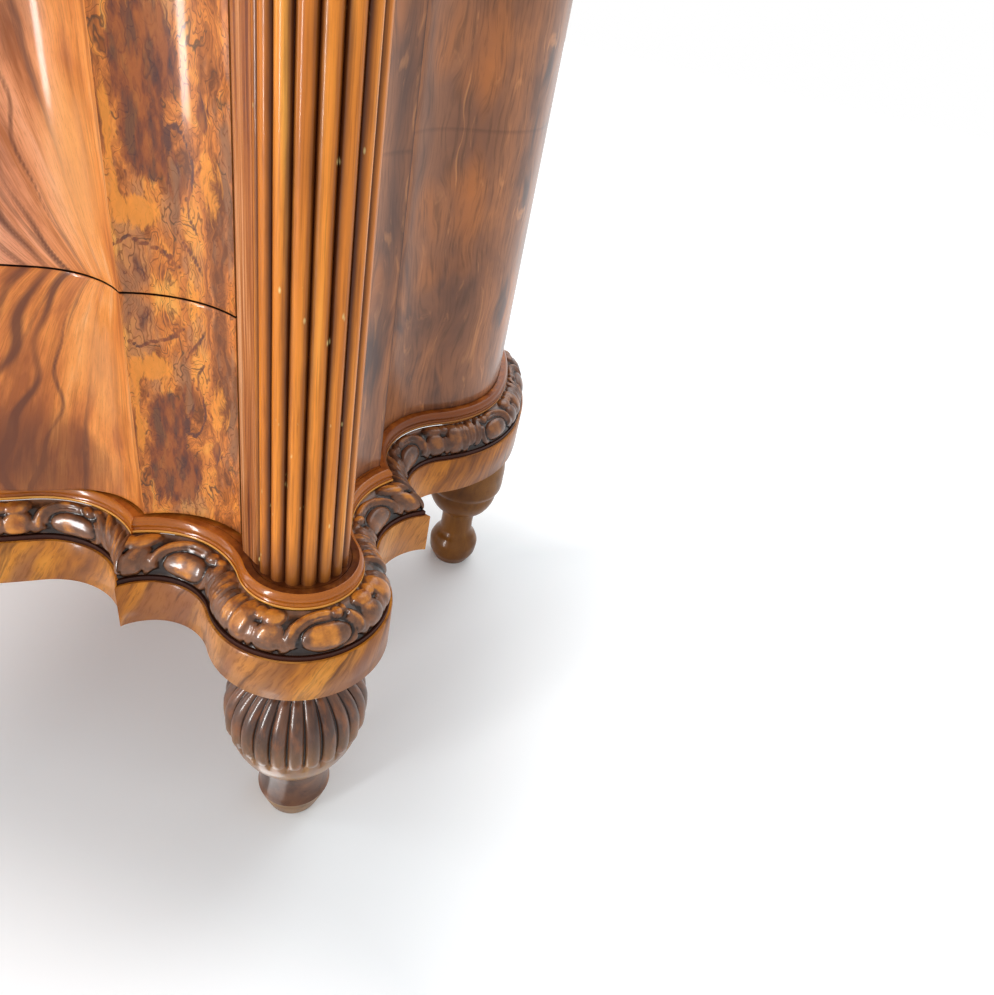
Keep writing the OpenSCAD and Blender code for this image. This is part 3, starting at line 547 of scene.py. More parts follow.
def band_wood():
    """The plinth's veneer, its figure leaning."""
    m = Mat("band_veneer", (1.22, 1.08, 0.66))
    v = m.uv()
    bent = m.bend(m.node("Mapping", i0=v, i2=(0, 0, 0.45)), m.grain(v, 12, 8, 3.0, 0.55, out=1), 0.03)
    fibre = m.grain(bent, 400, 60, 3.0, 0.65)
    streak = m.ramp(m.grain(bent, 75, 7, at=(7, 1)), (0.34, 1, 0.46, 0))
    some = m.ramp(m.grain(v, 9, 4, 2.0, 0.5, (1, 8)), (0.40, 0.2, 0.56, 0.9))
    col = m.layers(
        m.ramp(m.grain(bent, 24, 5, 4.0, 0.62),
               (0.34, "7a4a28", 0.44, "a2662c", 0.52, "b87830", 0.60, "c98a3e", 0.72, "dc9f5c")),
        (m.grain(v, 7, 3, 2.0, 0.5, (4, 2)), (0.50, 0, 0.66, 0.6), "b98a70"),
        (m.grain(bent, 17, 2, 3.0, 0.55, (2, 5)), (0.54, 0, 0.60, 0.75), "845648"))
    col = m.layers(m.mix(m.times(streak, some), col, "4c2a1c"), (fibre, (0.34, 0.5, 0.5, 0), "6b3c1c"))
    return m.finish(col, 0.36, fibre, 0.06, 0.0003, 0.25, 0.14, 0.125)


def carved_wood(name, gain, gold_and_highlight):
    """The carving: painted shade in its depths, and gold on its heights that is partly rubbed wear and partly painted
    highlight.
    """
    m = Mat(name, gain)
    v = m.uv()
    rag = m.grain(v, 90, 90)
    level = m.ragged(m.worn(), rag, 0.5)
    col = m.layers(
        m.ramp(rag, (0.3, "4a342c", 0.5, "664838", 0.7, "7d5640")),
        (level, (0, 1, 0.14, 0.9, 0.38, 0), "180b06"),
        (m.ragged(level, m.noise(v, 28.0, 2.0), 1.6), (0.80, 0, 1.0, gold_and_highlight),
         m.ramp(rag, (0.35, "94581e", 0.65, "cf9038"))))
    return m.finish(col, m.ramp(rag, (0.3, 0.28, 0.7, 0.42)), rag, 0.14, 0.0006, 0.4, 0.1, 0.2)


def foot_wood():
    """The front feet: olive below; darker above, partly their own brown and partly painted shade under the band;
    black between the lobes as painted shade.
    """
    m = Mat("foot_walnut", (1.75, 1.4, 0.95))
    v = m.uv()
    rag = m.grain(v, 60, 14, 5.0, 0.62)
    col = m.layers(
        m.ramp(rag, (0.34, "56380f", 0.5, "6e4f20", 0.64, "86662c")),
        (m.times(m.ragged(m.axis(v, 1), rag, 0.05), 5.0), (0.20, 0, 0.36, 0.45, 0.5, 1),
         m.ramp(rag, (0.34, "2c1c18", 0.5, "44302a", 0.64, "5c4236"))),
        (m.grain(v, 120, 40, 3.0, at=(3, 1)), (0.50, 0, 0.68, 0.45), "80502a"),
        (m.worn(), (0.16, 0, 0.5, 0.8, 0.9, 1), "0c0603"))
    return m.finish(col, m.ramp(rag, (0.3, 0.26, 0.7, 0.40)), rag, 0.12, 0.0005, 0.45, 0.14, 0.25)


FAN, BURL, SIDE, REED, LEDGE, BAND_WOOD, FOOT = (
    make() for make in (fan_veneer, burl_veneer, side_wood, reed_wood, ledge_wood, band_wood, foot_wood))
CARVED = carved_wood("carved_walnut", (1.45, 1.2, 0.85), 0.72)
# A darker copy with less gold for the side runs: painted shade, and less painted highlight.
CARVED_SHADED = carved_wood("carved_walnut_side", (1.0, 0.8, 0.62), 0.35)
# The side runs take a darker copy of the moulding's finish: painted shade on the side that faces away from the light.
MOULD, MOULD_SHADED = (
    streaky(name, "8a4716 b06020 c4722a d48a3c", (0.6, 5, 1), 0.15, 0.45, 0.3, dark_amount=0.35, seed=6.1,
            rubbed_highlight=((0.3, 0, 0.9, 0.85), "e8a868"), gain=gain, coat_rough=soft)
    for name, gain, soft in (("moulding_walnut", (1.1, 1.1, 0.6), 0.1),
                             ("moulding_walnut_side", (0.62, 0.55, 0.4), 0.3)))
TOP_VENEER = streaky("top_veneer", "5a3420 8d552f b06f3e c98d54", (0.8, 1.3, 2.6), 0.9, dark_amount=0.5,
                     coords="obj", seed=2.2, at=(0.25, 0.42, 0.58, 0.75))
STRIP = streaky("strip_walnut", "7e4a34 b8723e d08a4c ecb480", (40, 40, 0.5), 0.1, dark_amount=0.7, coords="obj",
                seed=5.1, gain=(0.92, 0.82, 0.85), at=(0.38, 0.46, 0.53, 0.62))
# Near-black for the quirk and the strips round the carving: painted shade of the crevice, with dirt.
QUIRK_SHADE_AND_DIRT = streaky("quirk_walnut", "240c07 351409 431b0c 54240f", coat=0.1, rough=0.45, coords="obj", seed=7.7)
# Near-black for the drawer fronts' top and bottom faces: painted shade of the gaps between drawers.
GAP_SHADE = streaky("edge_walnut", "1c0e08 2a160c 382012 482c18", coat=0.0, rough=0.6, coords="obj", seed=7.9)
PAD = streaky("pad_walnut", "6e4820 8c602e a0743a b98c54", (2, 3, 1), dark_amount=0.5, seed=10.4)
PAD_DARK = streaky("pad_dark_walnut", "2c1a14 4a2e22 6a4430 8c6038", (1.4, 2, 1), 0.5, 0.5, dark_amount=0.4,
                   seed=10.9, coat_rough=0.16, gain=(1.3, 1.2, 0.9))
REAR_FOOT = streaky("rear_foot_walnut", "4c2c12 6e4216 84531e 9c6a2e", (2, 0.8, 1), dark_amount=0.35, seed=11.1)
KNOB = streaky("knob_walnut", "2a1810 4c2e1c 64402a 7c5638", (2, 2, 2), coords="obj", seed=12.1)
OAK = streaky("drawer_oak", "a5834f b8965e c4a46c d0b47e", (1, 0.08, 1), 0.05, 0.0, 0.6, "7a5c34", coords="obj",
              big=40, seed=13.1, gain=(1.06, 0.94, 0.9))
PINE = streaky("carcass_pine", "9c7040 ae8250 b98e5a c69e6a", (0.08, 1, 1), 0.05, 0.0, 0.65, "6b4826", 0.35, "obj",
               30, 14.1)
BACK_PINE = streaky("back_pine", "8a6236 9c7242 a87e4c b48c58", (1, 1, 0.08), 0.05, 0.0, 0.7, "5c3c20", 0.35, "obj",
                    26, 15.1)


# ---------------------------------------------------------------- mouldings
def swept(plan, run, prof, step, s0=0.0):
    """A (distance, height) profile swept along a run: its points and texture coordinates."""
    prof = np.array(prof, float)
    pts, _, s = plan.along(run, prof[:, 0], step)
    return col3(pts, prof[None, :, 1]), uv_of(s[:, None] + s0, lengths(prof)[None, :])


def split_profile(prof):
    """Breaks a profile at its corners (marked by None) into smooth lines."""
    parts, now = [], []
    for q in prof:
        if q is None:
            parts.append(now)
            now = [now[-1]]
        else:
            now.append(q)
    return parts + [now]


def round_line(p0, p1, bulge, count):
    """Points of a shallow arc from p0 to p1, bulging outwards."""
    p0, p1 = np.array(p0, float), np.array(p1, float)
    half = np.hypot(*(p1 - p0)) / 2
    r = (half * half + bulge * bulge) / (2 * bulge)
    e = (p1 - p0) / (2 * half)
    c = (p0 + p1) / 2 - np.array([e[1], -e[0]]) * (r - bulge)
    a0 = angle_of(p0 - c)
    turn = (angle_of(p1 - c) - a0 + 720) % 360
    return [tuple(c + polar(r, a0 + turn * i / count)) for i in range(count + 1)]


WHOLE = 1e6  # a step so long that a run is left with its ends alone


def moulding(name, run, prof, step, mats, node, lit=None, kinds=None):
    """A moulding of the base with flat ends; lit is the part of the profile that is painted pale, as rubbed wear and
    painted highlight.
    """
    parts = split_profile(prof)
    ring = [q for k, part in enumerate(parts) for q in part[(1 if k else 0):]]
    b = Build()
    for k, part in enumerate(parts):
        p, uv = swept(BASE, run, part, step)
        b.grid(p, uv + [0, ring.index(part[0]) * 0.003], np.full(p.shape[:2], 1.0 if k == lit else 0.0),
               kinds[k] if kinds else 0)
    ends, _ = swept(BASE, run, ring, WHOLE)
    b.ngon(ends[0])
    b.ngon(ends[-1], flip=True)
    of_run(name, b, run, mats, node)


BAND_OUT, BAND_IN, SOFT = 28.0, -22.0, 0.7
moulding("plinth_front_band", "front", [
    (BAND_IN, BAND), (BAND_OUT - SOFT, BAND), None, (BAND_OUT, BAND + SOFT), (BAND_OUT, QUIRK - SOFT),
    (BAND_OUT - SOFT, QUIRK), None, (BAND_IN, QUIRK), None, (BAND_IN, BAND)],
    3.0, [BAND_WOOD], "plinth_front")

# The astragal above the carving: fillet, cove, broad roll and flat ledge
INNER = 0.5
AST = [None if q is None else (q[0], ASTRAGAL + q[1]) for q in (
    (INNER, 0.0), (10.4, 0.0), None, (10.7, 0.4), (10.7, 1.8), (10.4, 2.2), None, (9.3, 2.3), None,
    (8.7, 2.9), (8.4, 3.7), (8.5, 4.4), None, (9.1, 4.7), None,
    (9.6, 5.4), (9.8, 6.5), (9.6, 8.0), (9.0, 9.4), (8.0, 10.7), (6.9, 11.6), (6.0, 12.0), None, (INNER, 12.0))]
# Side runs take the darker, painted-shade copy of the moulding's finish.
for run, name in (("front", "astragal_front"), ("corner", "astragal_corner"), ("side", "astragal")):
    moulding(name + "_shaped", run, AST, 2.0, [MOULD_SHADED if run == "side" else MOULD, LEDGE],
             name, lit=1, kinds=(0, 0, 0, 0, 0, 0, 1))

# ---------------------------------------------------------------- carved moulding
# The relief is worked in arc length and in distance up the round, both in millimetres. Each repeat has its
# cabochon's place on the run and the way it faces; 0 is the corner's middle one, which faces both ways.
CENTRES = {"front": [(-60.0, -1), (60.0, 1), (202.0, 1), (344.0, 1)],
           "corner": [(52.4, 1), (193.0, 0), (350.0, -1)],
           "side": [(73.0, -1), (197.0, -1), (320.0, -1)]}
BASE_CUT = 3.0     # how deep the ground lies below the round
NONE = -9.0        # lower than anything carved
HALF_WIDTH = 17.5  # of the carved strip
CAP = 1.75         # how far the relief may stand over the round
# Pads: x and y from the middle of the cabochon, half width, half height, height, lean and squareness
PADS = [(0, -5.2, 16.3, 10.6, 4.85, 0, 2.2), (12.5, 11.4, 4.8, 4.6, 4.6, 0, 2.0),
        (28.5, 0.0, 5.2, 14.0, 4.0, -0.35, 2.2), (37.5, 3.0, 5.4, 15.0, 4.2, -0.25, 2.4),
        (46.5, -1.5, 4.6, 16.5, 4.3, -0.12, 2.4), (54.5, -2.0, 3.9, 16.0, 4.0, -0.06, 2.4),
        (61.6, -0.5, 3.4, 16.5, 4.4, 0.0, 2.4), (-75.0, -1.0, 3.8, 16.5, 4.2, 0.05, 2.4),
        (-63.8, -0.5, 7.6, 17.3, 4.85, 0.05, 2.8), (-54.0, -7.0, 3.4, 9.5, 3.8, 0.1, 2.2),
        (-53.0, 11.0, 5.2, 5.6, 4.5, 0, 2.2), (-41.0, 10.6, 9.0, 6.6, 4.85, 0.2, 2.2),
        (-41.5, -5.5, 9.4, 11.5, 4.7, 0.12, 2.4), (-30.0, -8.5, 4.0, 6.5, 3.8, 0, 2.2),
        (21.0, 13.0, 4.2, 3.4, 3.8, 0.3, 2.2)]
# Ribbons: x and y, the oval's half width and half height, first and last angle, half width and height
RIBBONS = [(-2, -4.5, 24.5, 18.0, 62, 208, 3.2, 4.5), (-1, -4.6, 20.9, 13.9, 70, 190, 1.3, 2.6),
           (2, -4.5, 21.5, 15.0, -66, 40, 2.6, 4.0), (-31, -2, 7.0, 12.0, 250, 340, 2.0, 3.2)]


def pillow(x, y, cx, cy, rx, ry, high, lean, square):
    """A rounded pad with full sides; slim ones are leaves with a vein."""
    rx, ry = rx * 1.13, ry * 1.06
    across = x - cx - lean * (y - cy)
    u = np.abs(across / rx) ** square + np.abs((y - cy) / ry) ** square
    h = high * np.clip(1 - u, 0, 1) ** 0.36
    if rx < 7.0 and ry > 9.0:
        h = h - 0.8 * np.exp(-((across - 0.12 * rx * np.sin(y * 0.5)) / 0.75) ** 2) * np.clip(1.2 - 2 * u, 0, 1)
    return np.where(u < 1, h - BASE_CUT, NONE)


def ribbon(x, y, cx, cy, rx, ry, a0, a1, wide, high):
    """A raised band along part of an oval, from angle a0 to a1, fading over its last degrees."""
    r = np.hypot((x - cx) / rx, (y - cy) / ry)
    ang = np.degrees(np.arctan2((y - cy) / ry, (x - cx) / rx)) % 360
    u = np.abs(r - 1) * (rx + ry) / 2 / (wide * 1.15)
    ends = np.minimum((ang - a0) % 360, (a1 - ang) % 360) / 18.0
    h = high * (np.clip(1 - u * u, 0, 1) * np.clip(ends, 0, 1)) ** 0.5
    return np.where(((ang - a0) % 360 < (a1 - a0)) & (u < 1), h - BASE_CUT, NONE)


def relief(s, t, width, centres):
    """Height of the carving over the round, and its marks: low for the painted shade of its depths, high for gold on
    its heights, partly rubbed wear and partly painted highlight, more so towards the top.
    """
    y = (t - width / 2) * (2 * HALF_WIDTH / width) + 0 * s
    h = np.full(y.shape, -BASE_CUT)
    for c, turn in centres:
        x = (s - c) * turn if turn else np.where(np.abs(s - c) < 22, s - c, -np.abs(s - c))
        for pad in PADS:
            h = np.maximum(h, pillow(x, y, *pad))
        for row in RIBBONS:
            h = np.maximum(h, ribbon(x, y, *row))
    edge = np.clip(1 - np.abs(y / HALF_WIDTH) ** 8, 0, 1)
    h = np.minimum(h * edge - 0.6 * (1 - edge), CAP)
    return h, np.clip((h + BASE_CUT) / 4.6 + 0.016 * (y - 2), 0, 1)


def carve(name, run, reach, node):
    """A carved length: the relief on its round, plain strips round it, and a cap where a side run ends."""
    edge, low = (9.7, ASTRAGAL - 0.8), reach - 2.5
    prof = np.array(round_line((reach - 4.0, CARVE), edge, 8.5, 34))
    tan = np.gradient(prof, axis=0)
    tan /= np.hypot(*tan.T)[:, None]
    t = lengths(prof)
    pts, nor, s = BASE.along(run, prof[:, 0], 1.25)
    h, worn = relief(s[:, None], t[None, :], t[-1], CENTRES[run])
    face = col3(pts + nor * (tan[None, :, 1] * h)[..., None], prof[None, :, 1] - tan[None, :, 0] * h)
    b = Build()
    b.grid(face, uv_of(s[:, None], t[None, :]), worn)
    corners = [(low - 1.5, CARVE), (low, CARVE), (low, QUIRK), (INNER, QUIRK), (INNER, ASTRAGAL),
               (edge[0], ASTRAGAL), edge]
    # These plain strips take the near-black painted shade of the quirk.
    for k in (3, 2, 1, 6, 5):
        p, uv = swept(BASE, run, [corners[k], corners[k - 1]], 3.0)
        b.grid(p, uv, mat=1)
    if run == "side":
        ends, _ = swept(BASE, run, corners[5:0:-1], WHOLE)
        b.ngon(np.concatenate([face[-1], ends[-1]]), flip=True, mat=1)
    # Side runs take the darker, painted-shade copy of the carving's finish.
    of_run(name, b, run, [CARVED_SHADED if run == "side" else CARVED, QUIRK_SHADE_AND_DIRT], node)


carve("carving_front_shaped", "front", BAND_OUT - 0.15, "carving_front")
carve("carving_corner_shaped", "corner", REACH, "carving_corner")
carve("carving_shaped", "side", REACH, "carving")


# ---------------------------------------------------------------- straight-sided pieces
def prism(lines, z0, z1, soft=0.5, uv0=0.0, step=None, mats=None, cap_mat=0, v_map=None, paint=None):
    """Upright walls on a chain of lines (anticlockwise from above), with slightly softened edges and caps."""
    tall = z1 - z0
    between = [tall / 2] if step is None else np.linspace(soft, tall - soft, max(3, int(tall / step)))[1:-1]
    rows = np.concatenate([[0, soft], between, [tall - soft, tall]])
    v = z0 + rows if v_map is None else v_map(z0 + rows)
    tangents = []
    for line in lines:
        tan = np.gradient(line, axis=0) if len(line) > 2 else np.repeat(line[1:] - line[:1], 2, 0)
        tangents.append(tan / np.maximum(np.hypot(*tan.T)[:, None], 1e-9))
    b, s, low, high = Build(), uv0, [], []
    for k, (line, tan) in enumerate(zip(lines, tangents)):
        nor = np.stack([tan[:, 1], -tan[:, 0]], -1)
        inset = nor.copy()
        for i, other in ((0, tangents[k - 1][-1]), (-1, tangents[(k + 1) % len(lines)][0])):
            m = nor[i] + [other[1], -other[0]]
            inset[i] = m / max(0.35, m @ nor[i])
        p = np.stack([col3(line - inset * (soft if j in (0, len(rows) - 1) else 0), z0 + z)
                      for j, z in enumerate(rows)], 1)
        at = s + lengths(line)
        g, w = paint(k, p, at[:, None], v[None, :]) if paint else (None, None)
        b.grid(p, uv_of(at[:, None], v[None, :]), w, mats[k] if mats else 0, g=g)
        low.append(p[:-1, 0])
        high.append(p[:-1, -1])
        s = at[-1]
    b.ngon(np.concatenate(high), mat=cap_mat)
    b.ngon(np.concatenate(low), flip=True, mat=cap_mat)
    return b


RAIL_END = 387.0  # where the plinth's side rail meets the rear block
BLOCK_FRONT, BLOCK_SIDE, BLOCK_BACK, REAR_IN = -125.0, -58.0, 26.0, -30.0  # the blocks' inner faces


def plinth_half(side, end):
    """The corner block, side rail and rear block of one side."""
    outer = BASE.outline("corner", 3.0, d=REACH)
    s0, s1 = BASE.side_mitre
    inner = s0 + (s1 - s0) * (BLOCK_SIDE - s0[0]) / (s1 - s0)[0]
    corner = prism([outer] + chain(outer[-1], inner, (BLOCK_SIDE, BLOCK_BACK), (BLOCK_FRONT, BLOCK_BACK), outer[0]),
                   BAND, QUIRK, SOFT)

    BASE.back = RAIL_END
    pts, _, _ = BASE.along("side", [REACH, -14.0], 3.0)
    BASE.back = BACK
    rail = prism([pts[:, 0], pts[-1], pts[::-1, 1], pts[0, ::-1]], BAND, QUIRK, SOFT, 400.0)

    rear = BASE.outline("side", 1.0, d=REACH)
    rear = np.concatenate([pts[-1:, 0], rear[rear[:, 1] >= RAIL_END]])
    block = prism([rear] + chain(rear[-1], (REAR_IN, BACK), (REAR_IN, RAIL_END), rear[0]), BAND, QUIRK, SOFT, 800.0)
    for name, b in (("corner_block", corner), ("plinth", rail), ("rear_block", block)):
        piece(name + "_band" + end, b, [BAND_WOOD], "carcass", [name + end], side)


for side, end in SIDES:
    plinth_half(side, end)

# ---------------------------------------------------------------- drawer fronts
GAPS = [(321.0, 501.3), (502.7, 678.3), (679.7, 847.0)]  # heights of each drawer's front
# The figure is matched at the gap between the two lower drawers, and again above the middle one.
V_MAPS = [lambda z: 501.0 - z, lambda z: z - 503.0, lambda z: 350.0 - (z - 503.0)]
# Drawer fronts: their ends, the step there and its lip, the straight back and where it begins, the bow's thickness
FRONT_END, FRONT_STEP, FRONT_LIP, FRONT_BACK, HOLLOW, BOW_THICK = -51.0, 2.2, 13.0, 26.0, 330.7 - COL_X, 24.0


def spot(x, y, cx, cy, rx, ry):
    """A soft round patch."""
    return np.exp(-(((x - cx) / rx) ** 2 + ((y - cy) / ry) ** 2) ** 1.5)


def thread(x, y, width, pts):
    """A soft line through points, drawn in the veneer's own plane."""
    best = np.full(x.shape, 1e9)
    for (x0, y0), (x1, y1) in zip(pts[:-1], pts[1:]):
        dx, dy = x1 - x0, y1 - y0
        t = np.clip(((x - x0) * dx + (y - y0) * dy) / (dx * dx + dy * dy), 0, 1)
        best = np.minimum(best, np.hypot(x - x0 - t * dx, y - y0 - t * dy))
    return np.exp(-(best / width) ** 2)


def flame(x, v):
    """Which line of the crotch figure a place lies on, by distance from the ridge and from the gap."""
    return x / np.sqrt(v + 8.0 + 0.7 * x)


# The fan's dark streaks: line of the figure, width and depth
STREAKS = [(6.9, 0.1612, 1.0625), (8.2, 0.2356, 0.875), (5.6, 0.0806, 0.6875), (9.5, 0.186, 0.9375),
           (11.4, 0.2604, 0.875), (13.5, 0.31, 0.5), (15.6, 0.558, 0.5625), (18.1, 0.434, 0.4375), (20.6, 0.682, 0.5)]
# The burl's patches (strength and the spot) and threads (strength, width and points)
PATCHES = [(-1.0, 24, 140, 20, 34), (-0.9, 22, 92, 16, 24), (0.9, 16, 52, 16, 12), (0.8, 4, 110, 4, 60),
           (-0.45, 18, 15, 22, 14), (-0.9, 59, 112, 5, 12), (0.7, 63, 75, 9, 26), (0.6, 47, 8, 10, 12),
           (-0.3, 55, 30, 9, 14)]
THREADS = [(-1.1, 0.9, [(0, 31), (3, 32), (9, 37), (16, 33), (24, 31), (34, 26)]),
           (-0.75, 1.3, [(52, 44), (47, 52), (46, 62), (49, 72), (51, 82), (49, 92), (46, 100), (41, 105), (37, 102),
                         (37, 95), (40, 86), (43, 76), (42, 66), (43, 56)]),
           (-0.6, 0.9, [(36, 100), (32, 92), (33, 78), (37, 64), (36, 50), (41, 38), (50, 26), (58, 10)]),
           (-0.5, 0.8, [(30, 26), (42, 18), (52, 8), (56, 0)])]


def fan_shade(x, v):
    """Dark streaks and paler light of the fan, by distance from the ridge and from the gap."""
    q = flame(x, v)
    out = 0.45 * spot(x, v, 30, 70, 22, 60) - 0.35 * spot(x, v, 75, 150, 50, 40)
    for at, wide, deep in STREAKS:
        sway = at + 0.34 * np.sin(v * 0.05 + at) + 0.16 * np.sin(v * 0.12 + 2 * at)
        out = out - deep * np.exp(-((q - sway) / wide) ** 2) * (0.65 + 0.35 * np.sin(v * 0.05 + at * 3))
    return out


def burl_shade(x, v):
    """Dark and golden patches of the burl, by distance from the ridge and from the gap."""
    return sum(k * spot(x, v, *at) for k, *at in PATCHES) + sum(k * thread(x, v, *at) for k, *at in THREADS)


def drawer_front(n):
    """A front: the fan over its bow, the burl over both hollows, plain wood behind."""
    bow = CASE.outline("front", 1.5)
    scoop = CASE.outline("corner", 1.5, 0)
    lip = FRONT_SCOOP[1] + math.sqrt(FRONT_SCOOP_R ** 2 - (FRONT_END - FRONT_SCOOP[0]) ** 2)
    scoop = np.concatenate([scoop[scoop[:, 0] < FRONT_END], [(FRONT_END, lip)]])
    full = np.concatenate([mirrored(bow)[:0:-1], bow])
    half = lengths(full)[-1] / 2
    ridge = angle_of(bow[-1] - FRONT_SCOOP)

    def paint(k, p, s, v):
        s, v = np.broadcast_arrays(s, v)
        if k == 0:
            x = half - np.abs(s)
            # On the lower drawer the fan is painted darker all over as painted shade, and darker still far from the
            # ridge near its bottom edge.
            w = fan_shade(x, v) - (0.10 + 0.3 * spot(x, v, 130, 165, 60, 60) if n == 1 else 0.0)
            # The third coordinate sets the fan's painted pink reflection away from the ridge, weaker on the lower
            # drawer.
            return np.stack([flame(x, v), v * 0.012 + x * 0.003, x * (0.001 if n == 1 else 0.004)], -1), w
        right = np.abs(p[..., 0] + COL_X) - COL_X
        turn = np.degrees(np.arctan2(p[..., 1] - FRONT_SCOOP[1], right - FRONT_SCOOP[0]))
        x = FRONT_SCOOP_R * np.radians(ridge - turn)
        return np.stack([x * 0.05, v * 0.03, s * 0], -1), burl_shade(x, v)

    x = np.linspace(HOLLOW, -2 * COL_X - HOLLOW, 120)
    arc = np.stack([x, CASE.bow_c[1] - np.sqrt((CASE.bow_r - BOW_THICK) ** 2 - (x + COL_X) ** 2)], -1)
    end = FRONT_END - FRONT_STEP
    right = [scoop] + chain(scoop[-1], (FRONT_END, FRONT_LIP), (end, FRONT_LIP), (end, FRONT_BACK),
                            (HOLLOW, FRONT_BACK))
    left = [mirrored(line)[::-1] for line in right[::-1]]
    b = prism([full] + right + [arc] + left, *GAPS[n - 1], 0.5, -half, 2.0, [0, 1] + [2] * 9 + [1], 3,
              V_MAPS[n - 1], paint)
    piece(f"drawer_{n}_front_veneered", b, [FAN, BURL, OAK, GAP_SHADE], f"drawer_{n}",
          [f"drawer_{n}_front"])


for n in (1, 2, 3):
    drawer_front(n)

# ---------------------------------------------------------------- side panels, corner posts, reeded columns
PANEL_IN, PANEL_FRONT, PANEL_THICK, VENEER_JOINT = -31.0, 50.0, 20.0, 592.0
POST = [(-50, -1.4), (-41.2, -15.8), (-25.5, -25), (-19.5, -21), (21, 19.5), (25, 25.5), (15.8, 41.2), (7.2, 50),
        (-50, 50)]
REEDS, REED_PITCH, REED_START, CREST, VALLEY = 10, 21.2, 106.0, 36.0, 31.8  # reeds of the column, degrees and radii


def side_panel(side, end):
    first = (SIDE_SCOOP[0] - math.sqrt(CASE.ra2 ** 2 - (SIDE_SCOOP[1] - PANEL_FRONT) ** 2), PANEL_FRONT)
    scoop = CASE.outline("corner", 1.5, 2)
    scoop = np.concatenate([[first], scoop[scoop[:, 1] > PANEL_FRONT]])
    outer = CASE.outline("side", 1.5)
    (hip, rear), r0, r1 = (CASE.side_c, CASE.rear_c), HIP_R - PANEL_THICK, REAR_R - PANEL_THICK
    a0 = math.degrees(math.acos((PANEL_IN - hip[0]) / r0))
    a1 = math.degrees(math.asin((BACK - rear[1]) / r1))
    inner = np.concatenate([hip + polar(r0, np.linspace(-a0, 0, 30)),
                            rear + polar(r1, np.linspace(0, a1, 30))[1:]])[::-1]
    ridge = lengths(scoop)[-1]

    def paint(k, p, s, v):
        d = np.broadcast_arrays(s - ridge, v)[0]
        # Past the ridge a pale band is painted as a highlight; at the ridge a dark veneer joint; before it the hollow
        # is darker.
        w = sum(deep * np.exp(-((d - at) / wide) ** 2)
                for deep, at, wide in ((0.9, 11.0, 8.0), (-1.2, 0.0, 1.3), (-0.55, -14.0, 9.0)))
        return None, w if k < 2 else w * 0

    b = prism([scoop, outer] + chain(outer[-1], inner[0]) + [inner]
              + chain(inner[-1], (PANEL_IN, PANEL_FRONT), scoop[0]), DECK, BODY, 0.3, step=10.0,
              mats=[0, 0, 1, 1, 1, 1], cap_mat=1, v_map=lambda z: np.abs(z - VENEER_JOINT), paint=paint)
    piece("side_panel_veneered" + end, b, [SIDE, PINE], "carcass", ["side_panel" + end], side)


def corner_post(side, end):
    b = prism(chain(*POST, POST[0]), DECK, BODY)
    piece("corner_post_planed" + end, b, [STRIP], "carcass", ["corner_post" + end], side)


def column(side, end):
    half_pitch = math.cos(math.radians(REED_PITCH / 2))
    rc = (CREST ** 2 - VALLEY ** 2) / (2 * (CREST - VALLEY * half_pitch))
    rr = CREST - rc
    half = math.degrees(math.acos((rc - VALLEY * half_pitch) / rr))
    a = np.linspace(-(180 - half), 180 - half, 17)
    z = np.concatenate([[DECK], np.linspace(DECK + 0.6, BODY, 60)])
    b, lines = Build(), []
    for i in range(REEDS):
        axis = -45 + (i + 0.5) * REED_PITCH - REED_START
        line = polar(rc, axis) + polar(rr, axis + a)
        lines.append(line)
        # How far a point lies down between the reeds; it sets the painted shade in the grooves.
        deep = np.clip((CREST - np.hypot(*line.T)) / (CREST - VALLEY), 0, 1)
        at = 13.0 * i + rr * np.radians(a - a[0])
        b.grid(col3(np.repeat(line[:, None], len(z), 1), z[None, :]), uv_of(at[:, None], z[None, :]),
               np.repeat(deep[:, None], len(z), 1))
    first, last = lines[0][0], lines[-1][-1]
    n, seat = polar(1.0, 135.0), -CREST * math.cos(math.radians(REED_START))
    fa, fb = (p + n * (seat - p @ n) for p in (last, first))
    # The flat faces behind the reeds, painted fully dark as shade.
    for pair in chain(last, fa, fb, first):
        q = col3(np.repeat(pair[:, None], 2, 1), [[DECK, BODY]])
        b.grid(q, q[..., [0, 2]] * MM, np.ones((2, 2)))
    piece("column_reeded" + end, b, [REED], "carcass", ["column" + end], side)


for side, end in SIDES:
    side_panel(side, end)
    corner_post(side, end)
    column(side, end)


# ---------------------------------------------------------------- turned pieces
def lathe(b, prof, n, shape=None, mat=0):
    """A turned surface about the vertical, from a (radius, height) profile; shape changes the radius."""
    prof = np.array(prof, float)
    a, z = np.linspace(0, 360, n + 1)[:, None], prof[None, :, 1]
    r = np.repeat(prof[None, :, 0], n + 1, 0)
    w = np.zeros_like(r)
    if shape is not None:
        r, w = shape(a, z, r)
    b.grid(col3(polar(r, a), z), uv_of(a / 360 * 350, lengths(prof)[None, :]), w, mat)


def smooth_profile(pts, step=1.0):
    """Cubic line through (radius, height) points, evenly spaced."""
    pts = np.array(pts, float)
    t = lengths(pts)
    m = np.gradient(pts, t, axis=0)
    out = []
    for i in range(len(pts) - 1):
        h = t[i + 1] - t[i]
        u = np.linspace(0, 1, max(2, int(h / step)), endpoint=False)[:, None]
        out.append((2 * u ** 3 - 3 * u ** 2 + 1) * pts[i] + (u ** 3 - 2 * u ** 2 + u) * h * m[i]
                   + (-2 * u ** 3 + 3 * u ** 2) * pts[i + 1] + (u ** 3 - u ** 2) * h * m[i + 1])
    return np.concatenate(out + [pts[-1:]])


LOBES, NOSE = 25, 124.0


